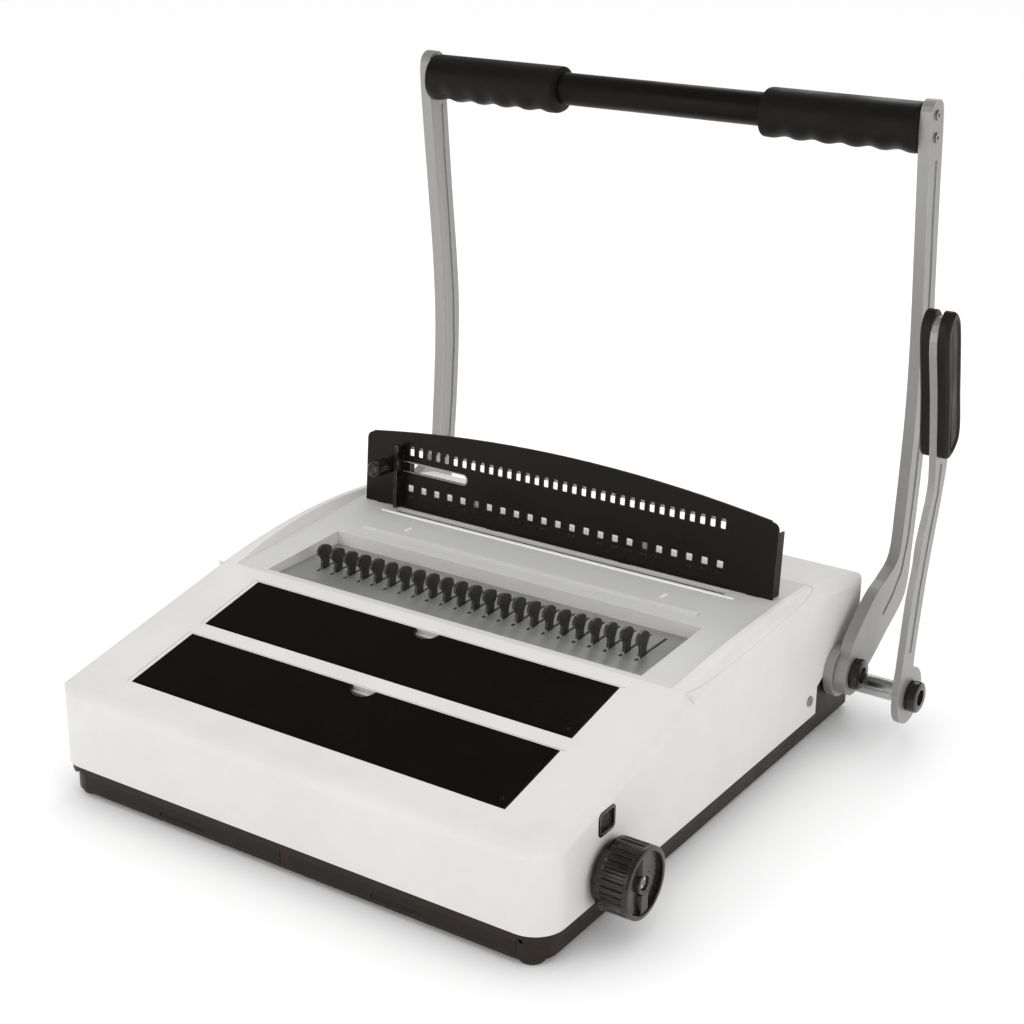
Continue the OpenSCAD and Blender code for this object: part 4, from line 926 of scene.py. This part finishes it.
def make_feet():
    """Round rubber feet with a ring pressed into each sole."""
    start, end = low("rubber_feet"), high("rubber_feet")
    r = FOOT_RADIUS
    height = end.z - start.z
    profile = [(0, 0.2 * MM), (0, r * 0.5), (0.4 * MM, r * 0.55), (0.4 * MM, r * 0.7), (0, r * 0.75),
               (0, r * 0.84), (0.5 * MM, r * 0.92), (1.6 * MM, r * 0.97), (2.4 * MM, r), (height, r),
               (height, 0.2 * MM)]
    bm = bmesh.new()
    for x in (start.x + r, end.x - r):
        for y in (start.y + r, end.y - r):
            lathe(profile, Vector((x, y, start.z)), UP, steps=48, into=bm)
    add_piece("rubber_feet_moulded", recalculated(bm), "root", RUBBER, ("rubber_feet",))


SCREW_COLUMNS = (0.12, 0.5, 0.88)        # shares of the base's width
SCREW_ROWS = (0.16, 0.84)                # shares of its depth


def make_base_screws():
    """Countersunk screws that hold the base tray, in the underside."""
    start = low("base_tray")
    span = high("base_tray") - start
    profile = [(0.3 * MM, 0.1 * MM), (0.3 * MM, 0.9 * MM), (-0.3 * MM, 1.1 * MM), (-0.45 * MM, 1.3 * MM),
               (-0.4 * MM, 2.9 * MM), (0, 3.4 * MM), (0.4 * MM, 3.4 * MM)]
    bm = bmesh.new()
    for column in SCREW_COLUMNS:
        for row in SCREW_ROWS:
            centre = Vector((start.x + span.x * column, start.y + span.y * row, start.z))
            lathe(profile, centre, UP, steps=32, into=bm)
    add_piece("base_screws", recalculated(bm), "root", SCREW)


# ---- Build ----

def give_finishes():
    """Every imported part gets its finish; parts that the table leaves out are plain steel."""
    for name, node in nodes.items():
        material = FINISH_OF_NODE.get(name, STEEL)
        for material_slot in node.material_slots:
            material_slot.material = material
    glass = glass_finish()
    for material_slot in nodes["window_lens"].material_slots:
        material_slot.material = glass


SOFT_EDGES = {            # width of the softened edge, in millimetres
    "handle_arm_left": 0.9, "handle_arm_right": 0.9, "comb_lever_arm": 0.9, "back_plate": 0.35,
    "front_lid": 0.4, "rear_lid": 0.4, "comb_fingers": 0.3, "comb_plate": 0.2, "base_tray": 0.8,
    "chip_tray_left": 0.4, "chip_tray_right": 0.4, "edge_guide": 0.3,
    "handle_bushes": 0.5, "crossbar": 0.4, "front_well": 0.4, "rear_well": 0.4,
}


SOFT_ANGLE = math.radians(32)


def soften_packed_parts():
    for name, width in SOFT_EDGES.items():
        bevel = nodes[name].modifiers.new("soft_edges", "BEVEL")
        bevel.width = width * MM
        bevel.segments = 2
        bevel.limit_method = "ANGLE"
        bevel.angle_limit = SOFT_ANGLE
        bevel.harden_normals = True
        bevel.use_clamp_overlap = True


# ---- Studio ----


FLOOR_SIZE = 12           # from its middle to each edge, in metres
SKY_LIGHT = 1.04
SKY_REFLECTION = 0.28
LIGHT_AIM = Vector((0, 0, 0.15))
LIGHTS = {                # place, size and power
    "key": ((-0.9, -2.1, 0.9), 1.3, 9),
    "side": ((2.1, -0.5, 0.9), 0.9, 5),
    "back": ((-0.5, 1.9, 1.5), 1.2, 9),
}


def add_area_light(name, place, size, power):
    data = bpy.data.lights.new(name, "AREA")
    data.size = size
    data.energy = power
    light = bpy.data.objects.new(name, data)
    bpy.context.scene.collection.objects.link(light)
    light.location = place
    light.rotation_euler = (LIGHT_AIM - Vector(place)).to_track_quat("-Z", "Y").to_euler()


def make_floor():
    bm = bmesh.new()
    bmesh.ops.create_grid(bm, x_segments=2, y_segments=2, size=FLOOR_SIZE)
    mesh = bpy.data.meshes.new("floor")
    bm.to_mesh(mesh)
    bm.free()
    floor = bpy.data.objects.new("floor", mesh)
    bpy.context.scene.collection.objects.link(floor)
    paper = bpy.data.materials.new("pale_floor")
    paper.use_nodes = True
    shader = paper.node_tree.nodes["Principled BSDF"]
    shader.inputs["Base Color"].default_value = (0.97, 0.97, 0.97, 1)
    shader.inputs["Roughness"].default_value = 0.9
    shader.inputs["Specular IOR Level"].default_value = 0.1
    mesh.materials.append(paper)


def make_world():
    """White surroundings that reflect only dimly, as the dark parts of a studio do."""
    world = bpy.data.worlds.new("studio")
    world.use_nodes = True
    tree = world.node_tree
    background = tree.nodes["Background"]
    background.inputs["Color"].default_value = (1, 1, 1, 1)
    rays = add_node(tree, "LightPath")
    dimmed = remap(tree, rays.outputs["Is Glossy Ray"], 0.0, 1.0, SKY_LIGHT, SKY_REFLECTION)
    strength = remap(tree, rays.outputs["Is Camera Ray"], 0.0, 1.0, dimmed, 1.0)
    tree.links.new(strength, background.inputs["Strength"])
    bpy.context.scene.world = world


def make_studio():
    make_floor()
    make_world()
    for name, settings in LIGHTS.items():
        add_area_light(name, *settings)
    bpy.context.scene.view_settings.view_transform = "Standard"


CAMERA_PLACE = Vector((0.70864, -1.07156, 0.67096))
CAMERA_TURN = math.radians(33.74)
CAMERA_DROP = math.radians(20.835)
CAMERA_ROLL = math.radians(0.4)
CAMERA_LENS = 67.21
SENSOR = 36.0


def make_camera():
    """Camera at a high three-quarter view, from the machine's right front."""
    data = bpy.data.cameras.new("camera")
    data.lens = CAMERA_LENS
    data.sensor_width = SENSOR
    data.clip_end = 50
    camera = bpy.data.objects.new("camera", data)
    bpy.context.scene.collection.objects.link(camera)
    level = math.cos(CAMERA_DROP)
    ahead = Vector((-math.sin(CAMERA_TURN) * level, math.cos(CAMERA_TURN) * level, -math.sin(CAMERA_DROP)))
    facing = ahead.to_track_quat("-Z", "Y").to_matrix().to_4x4()
    camera.matrix_world = Matrix.Translation(CAMERA_PLACE) @ facing @ Matrix.Rotation(CAMERA_ROLL, 4, "Z")
    bpy.context.scene.camera = camera


give_finishes()
soften_packed_parts()
make_grip("grip_left", "press_handle")
make_grip("grip_right", "press_handle")
make_caps()
make_lever_grip("lever_grip_outer", 1)
make_lever_grip("lever_grip_inner", -1)
make_depth_knob()
make_guide_knob()
make_plate_tabs()
make_slot_rim()
make_slit_lip()
make_deck_marks()
make_lid_dots()
make_window_frame()
make_dial_numbers()
make_feet()
make_base_screws()
make_studio()
make_camera()
